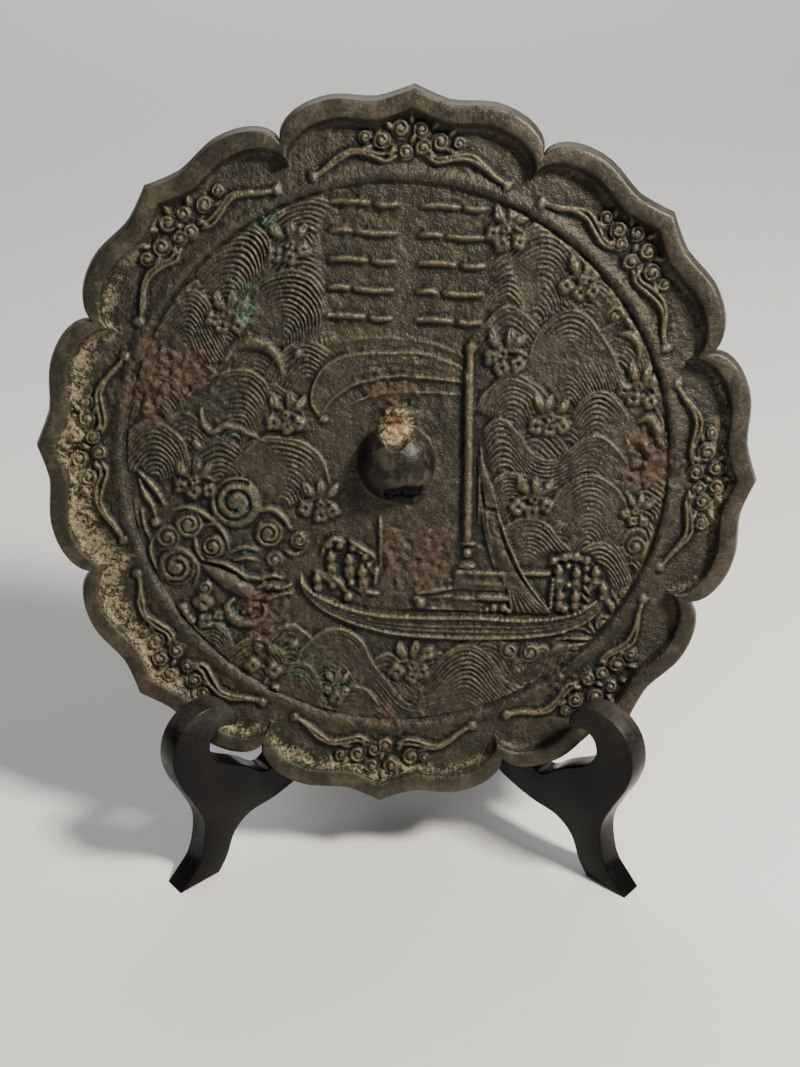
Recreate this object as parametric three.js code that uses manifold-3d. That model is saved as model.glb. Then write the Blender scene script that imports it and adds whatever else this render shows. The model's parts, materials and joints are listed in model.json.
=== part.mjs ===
// A cast bronze mirror with an eight-petalled edge, leaning in a stand of two crossed boards.
//
// The decorated side carries a knob in the middle, a ship among waves and flower sprays, a plain
// step, and a border with one cloud scroll in each of the eight lobes. The other side is the
// smooth, slightly domed reflecting face, which leans against the two uprights of the stand.
// Lengths are millimetres. X points to the right, Y to the back, and Z up from the table.

import * as THREE from 'three';
import { mergeVertices } from 'three/addons/utils/BufferGeometryUtils.js';
import Module from 'manifold-3d';

const wasm = await Module();
wasm.setup();

// ---- Driving dimensions of the mirror -------------------------------------------------------

const LOBES = 8;
const TIP_RADIUS = 86;
const NOTCH_RADIUS = 78.2;
const SHOULDER_RADIUS = 84.9;
const SADDLE_RADIUS = 83.4;
const SAMPLES_PER_LOBE = 12;

const RIM_THICKNESS = 5.5;
const RIM_FLARE = 1.7;
const RIM_INNER = 5.6;
const RIM_FOOT = 6.7;
const RIM_ARRIS = 0.4;
const FACE_DOME = 0.5;

const BORDER_FLOOR = 2.5;
const FIELD_FLOOR = 2.0;
const STEP_OUTER = 68;
const STEP_INNER = 64.2;
const STEP_HEIGHT = 3.4;
const KNOB_RADIUS = 9.3;
const KNOB_TOP = 10.6;

const RELIEF_ROOT = 0.4;          // how deep each raised form is rooted in the metal
const WAVE_WIDTH = 1.7;
const WAVE_HEIGHT = 0.8;
const WAVE_SPACING = 3.1;

// ---- Driving dimensions of the stand --------------------------------------------------------

const LEAN = 16.5;                // degrees that the mirror leans back from upright
const TURN = -2.6;                // degrees that it is turned in its own plane
const TIP_HEIGHT = 16.4;          // lowest point of the mirror above the table
const SIDE_SHIFT = -2;            // the mirror's middle stands this far from the stand's

const BOARD = 6;
const BOARD_ANGLE = 42;           // degrees between each board and the X axis
const TOE_SPREAD = 55;            // from the middle to the inner face at each front toe
const TOE_FRONT = -17.4;          // the front toes, measured from the mirror's lowest point
const LAP_HEIGHT = 50;
const GAP = 0.3;

const bronze = new THREE.MeshStandardMaterial({ color: 0x6a5c42, roughness: 0.55, metalness: 0.75 });
const lacquer = new THREE.MeshStandardMaterial({ color: 0x14110f, roughness: 0.3, metalness: 0 });

const rad = THREE.MathUtils.degToRad;

// ---- Solids ---------------------------------------------------------------------------------

function solidOf(geometry) {
  const bare = geometry.clone();
  bare.deleteAttribute('normal');
  bare.deleteAttribute('uv');
  const merged = mergeVertices(bare, 1e-4);
  const vertProperties = new Float32Array(merged.attributes.position.array);
  const triVerts = new Uint32Array(merged.index.array);
  return new wasm.Manifold(new wasm.Mesh({ numProp: 3, vertProperties, triVerts }));
}

function geometryOf(solid) {
  const mesh = solid.getMesh();
  const geometry = new THREE.BufferGeometry();
  geometry.setAttribute('position', new THREE.BufferAttribute(mesh.vertProperties, 3));
  geometry.setIndex(new THREE.BufferAttribute(mesh.triVerts, 1));
  const flat = geometry.toNonIndexed();
  flat.computeVertexNormals();
  return flat;
}

// Joins a row of sections, each a loop of the same number of points, into one closed solid.
function loft(sections) {
  const count = sections[0].length;
  const positions = sections.flat(2);
  const index = [];
  for (let row = 0; row + 1 < sections.length; row += 1) {
    for (let side = 0; side < count; side += 1) {
      const a = row * count + side;
      const b = row * count + (side + 1) % count;
      index.push(b, a, a + count, b, a + count, b + count);
    }
  }
  const last = (sections.length - 1) * count;
  for (let side = 1; side + 1 < count; side += 1) {
    index.push(0, side, side + 1, last, last + side + 1, last + side);
  }
  const geometry = new THREE.BufferGeometry();
  geometry.setAttribute('position', new THREE.Float32BufferAttribute(positions, 3));
  geometry.setIndex(index);
  return solidOf(geometry);
}

// A raised line with a roof-shaped section along points [x, y], thinner at its two ends.
function ridge(points, width, height, floor = FIELD_FLOOR) {
  const low = floor - RELIEF_ROOT;
  const sections = points.map(([x, y], i) => {
    const [x0, y0] = points[Math.max(i - 1, 0)];
    const [x1, y1] = points[Math.min(i + 1, points.length - 1)];
    const length = Math.hypot(x1 - x0, y1 - y0);
    const atEnd = i === 0 || i === points.length - 1;
    const half = (atEnd ? 0.55 : 1) * width / 2;
    const across = [-(y1 - y0) / length * half, (x1 - x0) / length * half];
    const crest = floor + (atEnd ? 0.6 : 1) * height;
    return [
      [x + across[0], y + across[1], low],
      [x - across[0], y - across[1], low],
      [x, y, crest],
    ];
  });
  return loft(sections);
}

// A low cone: a blossom, a bead, a head or the eye of a curl.
function button(x, y, radius, height, floor = FIELD_FLOOR, sides = 6) {
  const cone = new THREE.ConeGeometry(radius, height + RELIEF_ROOT, sides);
  cone.rotateX(Math.PI / 2);
  cone.translate(x, y, floor + (height - RELIEF_ROOT) / 2);
  return solidOf(cone);
}

function arc(x, y, radius, from, to, steps) {
  return Array.from({ length: steps + 1 }, (_, i) => {
    const angle = rad(from + (to - from) * i / steps);
    return [x + radius * Math.cos(angle), y + radius * Math.sin(angle)];
  });
}

function spiral(x, y, radius, startAngle, turns, steps) {
  return Array.from({ length: steps + 1 }, (_, i) => {
    const part = i / steps;
    const angle = rad(startAngle + 360 * turns * part);
    const reach = radius * (1 - 0.72 * part);
    return [x + reach * Math.cos(angle), y + reach * Math.sin(angle)];
  });
}

// ---- The mirror's body ----------------------------------------------------------------------

// The edge between two tips: a pointed notch, a round shoulder, a shallow saddle and a tip.
function outlineRadius(degrees) {
  const lobe = 360 / LOBES;
  const fromNotch = Math.abs(THREE.MathUtils.euclideanModulo(degrees, lobe) - lobe / 2);
  const shoulder = 9.2;
  const saddle = 16.5;
  if (fromNotch < shoulder) {
    const part = (shoulder - fromNotch) / shoulder;
    return NOTCH_RADIUS + (SHOULDER_RADIUS - NOTCH_RADIUS) * Math.sqrt(1 - part * part);
  }
  if (fromNotch < saddle) {
    const part = THREE.MathUtils.smoothstep(fromNotch, shoulder, saddle);
    return SHOULDER_RADIUS + (SADDLE_RADIUS - SHOULDER_RADIUS) * part;
  }
  const rise = (fromNotch - saddle) / (lobe / 2 - saddle);
  return SADDLE_RADIUS + (TIP_RADIUS - SADDLE_RADIUS) * rise ** 1.5;
}

// A turned disc whose outer part is drawn in to follow the lobed edge.
function mirrorBody() {
  const rimTop = TIP_RADIUS - RIM_FLARE;
  const profile = [
    [0, -FACE_DOME],
    [TIP_RADIUS, 0],
    [rimTop, RIM_THICKNESS - RIM_ARRIS],
    [rimTop - RIM_ARRIS, RIM_THICKNESS],
    [TIP_RADIUS - RIM_INNER, RIM_THICKNESS],
    [TIP_RADIUS - RIM_FOOT, BORDER_FLOOR],
    [STEP_OUTER, BORDER_FLOOR],
    [STEP_OUTER - 0.8, STEP_HEIGHT],
    [STEP_INNER + 0.8, STEP_HEIGHT],
    [STEP_INNER, FIELD_FLOOR],
    [0, FIELD_FLOOR],
  ].map(([x, z]) => new THREE.Vector2(x, z));
  const disc = new THREE.LatheGeometry(profile, LOBES * SAMPLES_PER_LOBE);
  disc.rotateX(Math.PI / 2);
  const position = disc.attributes.position;
  for (let i = 0; i < position.count; i += 1) {
    const [x, y] = [position.getX(i), position.getY(i)];
    const radius = Math.hypot(x, y);
    if (radius > STEP_OUTER + 1) {
      const drawnIn = radius - TIP_RADIUS + outlineRadius(THREE.MathUtils.radToDeg(Math.atan2(y, x)));
      position.setXY(i, x * drawnIn / radius, y * drawnIn / radius);
    }
  }
  return solidOf(disc);
}

// The round knob, with the two ends of its cord hole as blind recesses above and below.
function knob() {
  const root = FIELD_FLOOR - RELIEF_ROOT;
  const profile = [
    [0, root],
    [KNOB_RADIUS, root],
    [KNOB_RADIUS * 0.97, FIELD_FLOOR + 2.8],
    [KNOB_RADIUS * 0.82, FIELD_FLOOR + 6],
    [KNOB_RADIUS * 0.5, FIELD_FLOOR + 8.1],
    [0, KNOB_TOP],
  ].map(([x, z]) => new THREE.Vector2(x, z));
  const turned = new THREE.LatheGeometry(profile, 20);
  turned.rotateX(Math.PI / 2);
  const holeFloor = FIELD_FLOOR + 0.9;
  const upper = new THREE.BoxGeometry(4.4, 4.6, 4.2);
  upper.translate(0, KNOB_RADIUS - 1, holeFloor + 2.1);
  const lower = new THREE.BoxGeometry(2.6, 3, 2.4);
  lower.translate(0, -KNOB_RADIUS + 0.6, holeFloor + 1.2);
  return solidOf(turned).subtract(solidOf(upper)).subtract(solidOf(lower));
}

// ---- Relief of the inner field --------------------------------------------------------------

// Each wave: [x, y, radius of the crest line, first and last angle, number of lines inside it].
const WAVES = [
  [-39, 41, 11.5, 15, 155, 3], [-50, 27.5, 9.8, 5, 165, 2], [-28, 31, 11, 10, 165, 3],
  [-38, 8, 11.5, 20, 158, 3], [-56, -2, 8.4, 35, 150, 2], [-26, -6, 8.5, 25, 150, 2],
  [31, 43, 13, 15, 115, 3], [41, 24, 13, 12, 150, 3], [26, 9, 11, 30, 125, 2],
  [38, 17, 14, 238, 305, 2], [47, 8, 10.3, 15, 110, 3], [47, -12, 11.3, 35, 145, 3],
  [33, -23, 11, 35, 130, 2], [50, -27, 9.7, 15, 125, 2], [-12, -52, 10.6, 10, 160, 3],
  [-25, -60, 10.4, -5, 75, 2], [20, -54, 10, 35, 145, 2], [34, -43, 9.5, 225, 320, 2],
  [7.5, -49.5, 11.3, 228, 312, 2],
];

function waves() {
  return WAVES.flatMap(([x, y, radius, from, to, lines]) =>
    Array.from({ length: lines }, (_, line) => {
      const steps = line < 1 ? 5 : 4;
      const reach = radius - line * WAVE_SPACING;
      return ridge(arc(x, y, reach, from, to, steps), WAVE_WIDTH, WAVE_HEIGHT);
    }));
}

// A flower spray: three upright petals over a pair of round blossoms.
const SPRAYS = [
  [-27, 49.6], [-41, 32.8], [-26, 10], [-47.6, -7], [-17.7, -10], [22.5, 54], [40.6, 44.5],
  [24, 27], [35, 12.5], [56, 21], [33, -7], [56, -9], [-56, 15], [-45, -39], [6, -49.5],
];

function sprays() {
  return SPRAYS.flatMap(([x, y]) => [
    ...[-1, 0, 1].map((lean) => ridge(
      [[x + lean * 2.3, y + 1.2], [x + lean * 3.8, y + 5.6 - 1.2 * Math.abs(lean)]], 3.4, 1.7)),
    button(x - 2.6, y - 2, 2.3, 1.1),
    button(x + 2.6, y - 2, 2.3, 1.1),
  ]);
}

// The ship: hull with its strakes, deck houses, mast, rigging, sail, and the people on board.
function hull() {
  const bow = -22.5;
  const stern = 51;
  const strake = (drop, inset, steps) => Array.from({ length: steps + 1 }, (_, i) => {
    const part = i / steps;
    const x = bow + inset + (stern - bow - 1.5 * inset) * part;
    const sag = 1 - Math.abs(2 * part - 1) ** 3;
    return [x, -30.2 - drop - 6.3 * sag + 1.2 * part];
  });
  const top = strake(0, 0, 8);
  const bottom = strake(5.6, 3.6, 8);
  const side = (points, z) => points.map(([x, y]) => [x, y, z]);
  const lift = (z) => [...side(top, z), ...side([...bottom].reverse(), z)];
  return [
    ...stripOf(lift(FIELD_FLOOR - RELIEF_ROOT), lift(FIELD_FLOOR + 0.5), top.length),
    ridge(top, 1.8, 1.5),
    ridge(strake(2.7, 1.6, 7), 1.5, 1.1),
    ridge(bottom, 1.6, 1.1),
  ];
}

// A plate between two rows of points, split into quads so that every piece of it is convex.
function stripOf(low, high, count) {
  return Array.from({ length: count - 1 }, (_, i) => {
    const far = low.length - 1 - i;
    const corners = [i, i + 1, far - 1, far];
    const ring = (loop) => corners.map((corner) => loop[corner]);
    return loft([ring(low), ring(high)]);
  });
}

function slab(x0, x1, y0, y1, height, floor = FIELD_FLOOR) {
  const box = new THREE.BoxGeometry(x1 - x0, y1 - y0, height + RELIEF_ROOT);
  box.translate((x0 + x1) / 2, (y0 + y1) / 2, floor + (height - RELIEF_ROOT) / 2);
  return solidOf(box);
}

function rigAndSail() {
  const leading = [[-18, 9.5], [-20.3, 15.5], [-17.5, 21.8], [-9.8, 24.9], [2, 25.7], [14.5, 22.8]];
  const lower = [[-17.6, 12], [-13, 17], [-6, 19.2], [3, 20.1], [14.5, 19.6]];
  const fan = [0, 1, 2, 3].map((i) =>
    ridge([[28.6, -24], [30 + 3.1 * i, -34.4 + 0.4 * i]], 1.3, 0.9));
  return [
    ridge([[15.9, 27.9], [16.5, 10], [17.4, -10], [18.3, -24.7]], 2.4, 1.5),
    ridge(leading, 1.6, 1.1),
    ridge(lower, 1.5, 1),
    ridge([[-5, 15], [3, 16.4], [14.5, 16.7]], 1.3, 0.8),
    ridge([[20, 0], [23.3, -8], [26, -18], [29, -25.5]], 2.4, 1.1),
    ridge([[20, -6], [22.2, -15], [25.2, -24.3]], 1.3, 0.8),
    ...fan,
  ];
}

function deck() {
  const crew = [
    [-14.5, -23.8], [-10.3, -24.3], [-7, -27.5], [-18.3, -28.5], [-13.6, -30.2], [-9.6, -32.4],
    [7.5, -33.4], [40.8, -25.2], [44.8, -26], [49, -25.4], [41, -30.4], [45, -31], [51, -29.4],
  ];
  return [
    slab(15.4, 26.6, -27.4, -25.2, 0.9),
    slab(17, 27.5, -31, -28.2, 0.9),
    slab(6, 15, -32, -30, 0.8),
    slab(31.7, 38.3, -26, -24.4, 1),
    slab(37.9, 39.4, -34, -26.2, 1),
    slab(-4, -2.5, -25.2, -13.5, 0.8),
    ridge([[37.8, -22.9], [42.2, -20.2], [46.9, -22.7]], 1.8, 1),
    ridge([[-17, -21.6], [-10.5, -19.4], [-3.7, -23.3]], 1.8, 1),
    ...crew.map(([x, y]) => button(x, y, 1.7, 1.3)),
  ];
}

// The sea beast before the bow: curling foam, a rolling body and a looped tail.
function beast() {
  const curls = [
    [-37.8, -11.2, 5.6], [-48.8, -17.6, 3.2], [-54.4, -22.4, 2.9], [-42.2, -22.6, 3.2],
    [-51.3, -29, 4.4], [-29.6, -18.9, 3.4],
  ];
  return [
    ...curls.map(([x, y, radius]) => ridge(spiral(x, y, radius, 200, 1.1, 8), 1.6, 1.1)),
    ridge([[-45, -27], [-41.5, -30.5], [-36.5, -32.6], [-31, -31.6], [-26, -32.6]], 4, 1.4),
    ridge(arc(-34.6, -38, 3, 100, 380, 8), 1.6, 1.1),
    ridge([[-36, -27.6], [-31.5, -26.6], [-27.6, -28.6]], 2.2, 1.3),
    ridge([[-60.6, -6.4], [-57.6, -10.4], [-54.6, -12.4]], 2.2, 1),
    ridge([[-59.6, -11], [-57.6, -15.4]], 2, 1),
    ridge([[-46.5, 3.2], [-42, 6.2], [-36, 6.4], [-30, 4]], 2.2, 1.1),
    ridge([[49.5, 36], [52.2, 32], [53.7, 28.5]], 2.8, 1.1),
    ridge([[58.6, 12], [60.2, 8], [61.4, 4.4]], 2.8, 1.1),
  ];
}

// Two blocks of short strokes stand where the panels beside the sail are. They are not letters.
function strokeRows() {
  const rows = 5;
  const bars = [];
  for (const [left, right] of [[-17.5, -3], [3, 17.5]]) {
    for (let row = 0; row < rows; row += 1) {
      const y = 33 + row * 6.4;
      const split = left + (right - left) * (row % 2 ? 0.36 : 0.62);
      bars.push(slab(left, split - 0.9, y, y + 1.2, 0.7), slab(split + 0.9, right, y, y + 1.2, 0.7));
    }
  }
  return bars;
}

// ---- Relief of the border -------------------------------------------------------------------

// One cloud scroll in a lobe: a cluster of curls with a wavy tendril running out on each side.
function borderScroll(tipAngle) {
  const at = (degrees, radius) => {
    const angle = rad(tipAngle + degrees);
    return [radius * Math.cos(angle), radius * Math.sin(angle)];
  };
  const curls = [[0, 76.6], [-4, 75.4], [4, 75.4], [-8, 75], [8, 75]];
  const raised = curls.map(([degrees, radius]) =>
    button(...at(degrees, radius), 2.2, 1.3, BORDER_FLOOR));
  for (const side of [-1, 1]) {
    const tendril = Array.from({ length: 5 }, (_, i) => {
      const part = i / 4;
      const wave = 1.1 * Math.sin(part * 1.5 * Math.PI);
      return at(side * (4.2 + 12 * part), 70.6 + wave);
    });
    raised.push(ridge(tendril, 1.9, 1.1, BORDER_FLOOR));
    raised.push(button(...at(side * 18.4, 70.2), 1.5, 1.1, BORDER_FLOOR));
  }
  return raised;
}

function mirrorSolid() {
  const fieldEdge = new THREE.CylinderGeometry(STEP_INNER + 0.4, STEP_INNER + 0.4, 12, 72);
  fieldEdge.rotateX(Math.PI / 2);
  const joined = (solids) => solids.reduce((whole, solid) => whole.add(solid));
  const field = joined([
    ...waves(), ...sprays(), ...hull(), ...rigAndSail(), ...deck(), ...beast(), ...strokeRows(),
  ]).intersect(solidOf(fieldEdge));
  const border = Array.from({ length: LOBES }, (_, lobe) => borderScroll(90 + lobe * 360 / LOBES));
  return mirrorBody().add(knob()).add(field).add(joined(border.flat()));
}

// ---- The stand ------------------------------------------------------------------------------

// Side view of a board. The first number runs along the board from its front toe, the second up.
function boardOutline() {
  const points = (list) => list.map(([along, up]) => new THREE.Vector2(along, up));
  const outline = new THREE.Shape();
  outline.moveTo(0.5, 0);
  outline.lineTo(12, 0);
  outline.splineThru(points([          // the arch between the feet
    [14.8, 4], [17.6, 10.2], [22.5, 13.6], [30, 14.4], [38, 16.6], [48, 21], [61, 24.6],
    [75, 24.4], [86, 20.6], [94, 13.6], [98.4, 6], [101, 0],
  ]));
  outline.lineTo(112.5, 0);
  outline.splineThru(points([          // the rear foot and the back of the upright
    [109.2, 5.4], [106.2, 12], [105, 19], [101, 28], [92.5, 39], [84, 51], [78.6, 65],
    [75.4, 80], [73.6, 94], [73, 102], [72.6, 106.4], [70.8, 108.6], [68.4, 107.6],
  ]));
  outline.lineTo(33.2, 31.4);          // the edge that the mirror leans on
  outline.splineThru(points([          // the seat
    [31.2, 25.8], [28.5, 23.8], [26, 25], [23.5, 27.4], [21, 29.3], [16.8, 32], [13.9, 34.6],
    [12.4, 38], [13.3, 41.5], [16, 43.1], [19, 42.2],
  ]));
  outline.splineThru(points([          // the hook and the swelling front edge
    [20.7, 42.6], [20.8, 44.7], [18.8, 47.6], [14.8, 49.8], [10, 49.7], [6, 47.6], [3.2, 43.8],
    [2.1, 38.2], [3.4, 32], [6.6, 24.8], [8.9, 18.5], [8.8, 13], [6.9, 6.6], [3.4, 2.8], [0.5, 0],
  ]));
  return outline;
}

// Stands a board up with its inner face through the front toe. side is -1 for left, 1 for right,
// and the third direction points into the stand on the left and out of it on the right.
function placed(geometry, side) {
  const along = new THREE.Vector3(-side * Math.cos(rad(BOARD_ANGLE)), Math.sin(rad(BOARD_ANGLE)), 0);
  const up = new THREE.Vector3(0, 0, 1);
  const third = new THREE.Vector3().crossVectors(along, up);
  const place = new THREE.Matrix4().makeBasis(along, up, third);
  place.setPosition(side * TOE_SPREAD, TOE_FRONT, 0);
  return solidOf(geometry.applyMatrix4(place));
}

function boardBlank(side) {
  const blank = new THREE.ExtrudeGeometry(boardOutline(), {
    depth: BOARD, bevelEnabled: false, curveSegments: 2,
  });
  blank.translate(0, 0, side < 0 ? -BOARD : 0);
  return placed(blank, side);
}

// The room that the other board takes at the lap, from one height to another.
function lapRoom(side, from, to) {
  const room = new THREE.BoxGeometry(300, to - from, BOARD + 2 * GAP);
  room.translate(0, (from + to) / 2, side * BOARD / 2);
  return placed(room, side);
}

// The left board is notched from above and the right board from below, so that they cross.
function standBoard(side) {
  const notch = side < 0 ? lapRoom(1, LAP_HEIGHT, 200) : lapRoom(-1, -50, LAP_HEIGHT + GAP);
  return boardBlank(side).subtract(notch);
}

// ---- The object -----------------------------------------------------------------------------

const standLeft = new THREE.Mesh(geometryOf(standBoard(-1)), lacquer);
standLeft.name = 'stand_board_left';

const standRight = new THREE.Mesh(geometryOf(standBoard(1)), lacquer);
standRight.name = 'stand_board_right';

const mirror = new THREE.Mesh(geometryOf(mirrorSolid()), bronze);
mirror.name = 'mirror';
mirror.rotation.z = rad(TURN);

// Tilting the mirror about its lowest point and setting it in the stand.
const leaning = new THREE.Group();
leaning.add(mirror);
leaning.rotation.x = rad(90 - LEAN);
const reach = TIP_RADIUS * Math.cos(rad(TURN));
leaning.position.set(SIDE_SHIFT, reach * Math.sin(rad(LEAN)), TIP_HEIGHT + reach * Math.cos(rad(LEAN)));

// The origin is on the table, under the middle of the whole object.
const object = new THREE.Group();
object.add(standLeft, standRight, leaning);
object.updateMatrixWorld(true);
const box = new THREE.Box3().setFromObject(object, true);
object.position.set(-(box.min.x + box.max.x) / 2, -(box.min.y + box.max.y) / 2, -box.min.z);

export default object;
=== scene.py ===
# %% [markdown]
# # A bronze mirror on its stand
# The frame comes from CAD: one cast mirror and the two lacquered boards that it leans in.
# Here the mirror gets its relief, its worn rim and its patina, and the boards their lacquer.

# %% Start
import json
import math

import bmesh
import bpy
import numpy as np
from mathutils import Matrix, Vector

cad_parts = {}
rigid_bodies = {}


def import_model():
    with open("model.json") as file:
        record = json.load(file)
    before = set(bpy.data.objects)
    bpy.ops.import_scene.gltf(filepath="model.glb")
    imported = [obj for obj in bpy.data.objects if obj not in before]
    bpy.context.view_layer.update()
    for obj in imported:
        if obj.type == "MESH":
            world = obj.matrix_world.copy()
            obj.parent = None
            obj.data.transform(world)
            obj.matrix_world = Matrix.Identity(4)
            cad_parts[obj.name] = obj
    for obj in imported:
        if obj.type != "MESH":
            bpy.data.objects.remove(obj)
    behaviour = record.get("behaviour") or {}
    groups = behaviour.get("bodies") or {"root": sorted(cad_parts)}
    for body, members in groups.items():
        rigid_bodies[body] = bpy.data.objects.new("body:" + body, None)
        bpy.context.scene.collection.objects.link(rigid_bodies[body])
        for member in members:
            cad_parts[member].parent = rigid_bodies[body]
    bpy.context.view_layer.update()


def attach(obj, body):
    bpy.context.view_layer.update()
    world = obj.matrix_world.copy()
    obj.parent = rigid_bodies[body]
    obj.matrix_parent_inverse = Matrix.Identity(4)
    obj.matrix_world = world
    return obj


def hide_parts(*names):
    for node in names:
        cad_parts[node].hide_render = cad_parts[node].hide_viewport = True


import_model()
MM = 0.001

# %% [markdown]
# ## Sizes
# All sizes are in millimetres. The mirror has a frame of its own: x to the right, y up its face
# and z towards the decorated side, with the reflecting side at z = 0.

# %% Sizes
LOBES = 8
TIP_RADIUS = 86.0
NOTCH_RADIUS = 78.2
SHOULDER_RADIUS = 84.9
SADDLE_RADIUS = 83.4
SHOULDER_ANGLE, SADDLE_ANGLE = 9.2, 16.5

RIM_THICKNESS = 5.5
RIM_FLARE = 1.7
RIM_INNER = 5.6
RIM_FOOT = 6.7
FACE_DOME = 0.5
FIELD_FLOOR = 2.0
BORDER_FLOOR = 2.5
STEP_INNER, STEP_OUTER = 64.2, 68.0
KNOB_RADIUS, KNOB_TOP = 9.3, 10.6

LEAN, TURN = 16.5, -2.6
TIP_HEIGHT = 16.4
SIDE_SHIFT, DEPTH_SHIFT = 2.0, -22.635
MIRROR_TRIANGLES = 190000
random = np.random.default_rng(12)


def smooth(low, high, value):
    """0 at low, 1 at high and a soft step between them."""
    part = np.clip((value - low) / (high - low), 0.0, 1.0)
    return part * part * (3.0 - 2.0 * part)


def mirror_place():
    """The mirror stands on its lowest tip and leans back, turned a little in its own plane."""
    reach = TIP_RADIUS * math.cos(math.radians(TURN))
    lean = math.radians(LEAN)
    middle = (0.0, reach * math.sin(lean) + DEPTH_SHIFT, TIP_HEIGHT + reach * math.cos(lean))
    return (Matrix.Translation(middle) @ Matrix.Rotation(math.radians(90 - LEAN), 4, "X")
            @ Matrix.Rotation(math.radians(TURN), 4, "Z"))


def outline_radius(degrees):
    """The distance from the mirror's middle to its lobed edge."""
    share = 360 / LOBES
    away = np.abs(np.mod(degrees, share) - share / 2)
    dip = np.clip((SHOULDER_ANGLE - away) / SHOULDER_ANGLE, 0, 1)
    bowl = NOTCH_RADIUS + (SHOULDER_RADIUS - NOTCH_RADIUS) * np.sqrt(1 - dip * dip)
    saddle = SHOULDER_RADIUS + (SADDLE_RADIUS - SHOULDER_RADIUS) * smooth(SHOULDER_ANGLE, SADDLE_ANGLE,
        away)
    tip = SADDLE_RADIUS + (TIP_RADIUS - SADDLE_RADIUS) * np.clip((away - SADDLE_ANGLE) / 6, 0, None) ** 1.5
    return np.where(away < SHOULDER_ANGLE, bowl, np.where(away < SADDLE_ANGLE, saddle, tip))


# %% [markdown]
# ## Drawing relief
# The relief is painted as heights above the ground, on a square raster over the decorated side.

# %% Drawing relief
PITCH = 0.1
REACH = 87.6
STEPS = int(round(2 * REACH / PITCH)) + 1
AXIS = np.linspace(-REACH, REACH, STEPS).astype(np.float32)


def window(low_x, high_x, low_y, high_y):
    """The part of the raster inside a box, with its x and y values."""
    def span(low, high):
        first = min(max(int((low + REACH) / PITCH), 0), STEPS - 2)
        last = min(max(int((high + REACH) / PITCH) + 2, first + 1), STEPS)
        return slice(first, last)
    columns, rows = span(low_x, high_x), span(low_y, high_y)
    return (rows, columns), AXIS[None, columns], AXIS[rows, None]


def window_around(outline, margin=0.0):
    low, high = outline.min(0) - margin, outline.max(0) + margin
    return window(low[0], high[0], low[1], high[1])


def curve(points, step=0.45):
    """A smooth line through a few points."""
    points = np.asarray(points, float)
    if len(points) < 3:
        count = max(int(np.hypot(*(points[1] - points[0])) / step), 1)
        return points[0] + (points[1] - points[0]) * np.linspace(0, 1, count + 1)[:, None]
    before = np.vstack([2 * points[0] - points[1], points[:-1]])
    after = np.vstack([points[1:], 2 * points[-1] - points[-2]])
    slope = (after - before) / 2
    parts = []
    for i in range(len(points) - 1):
        a, b = points[i], points[i + 1]
        count = max(int(np.hypot(*(b - a)) / step), 1)
        t = np.arange(count)[:, None] / count
        parts.append((2*t**3 - 3*t**2 + 1) * a + (t**3 - 2*t**2 + t) * slope[i]
                     + (3*t**2 - 2*t**3) * b + (t**3 - t**2) * slope[i + 1])
    return np.vstack(parts + [points[-1:]])


def box_blur(field, radius, times=3):
    """A soft copy of a raster, averaged over a radius in millimetres."""
    width = max(int(radius / PITCH), 1)
    for _ in range(times):
        for axis in (0, 1):
            margins = [(width + 1, width) if a == axis else (0, 0) for a in (0, 1)]
            total = np.cumsum(np.pad(field, margins, mode="edge"), axis=axis, dtype=np.float64)
            ahead = np.take(total, range(2 * width + 1, total.shape[axis]), axis=axis)
            behind = np.take(total, range(0, total.shape[axis] - 2 * width - 1), axis=axis)
            field = ((ahead - behind) / (2 * width + 1)).astype(np.float32)
    return field


def cloud(size):
    """Smooth random hills about size millimetres across, with a spread of one."""
    coarse = max(int(size / PITCH / 4), 1)
    few = STEPS // coarse + 4
    hills = box_blur(random.standard_normal((few, few)).astype(np.float32), 2 * PITCH, 2)
    place = np.arange(STEPS) / coarse
    first = place.astype(int)
    part = (place - first).astype(np.float32)
    rows = hills[first] * (1 - part[:, None]) + hills[first + 1] * part[:, None]
    full = rows[:, first] * (1 - part) + rows[:, first + 1] * part
    return full / full.std()


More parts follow.
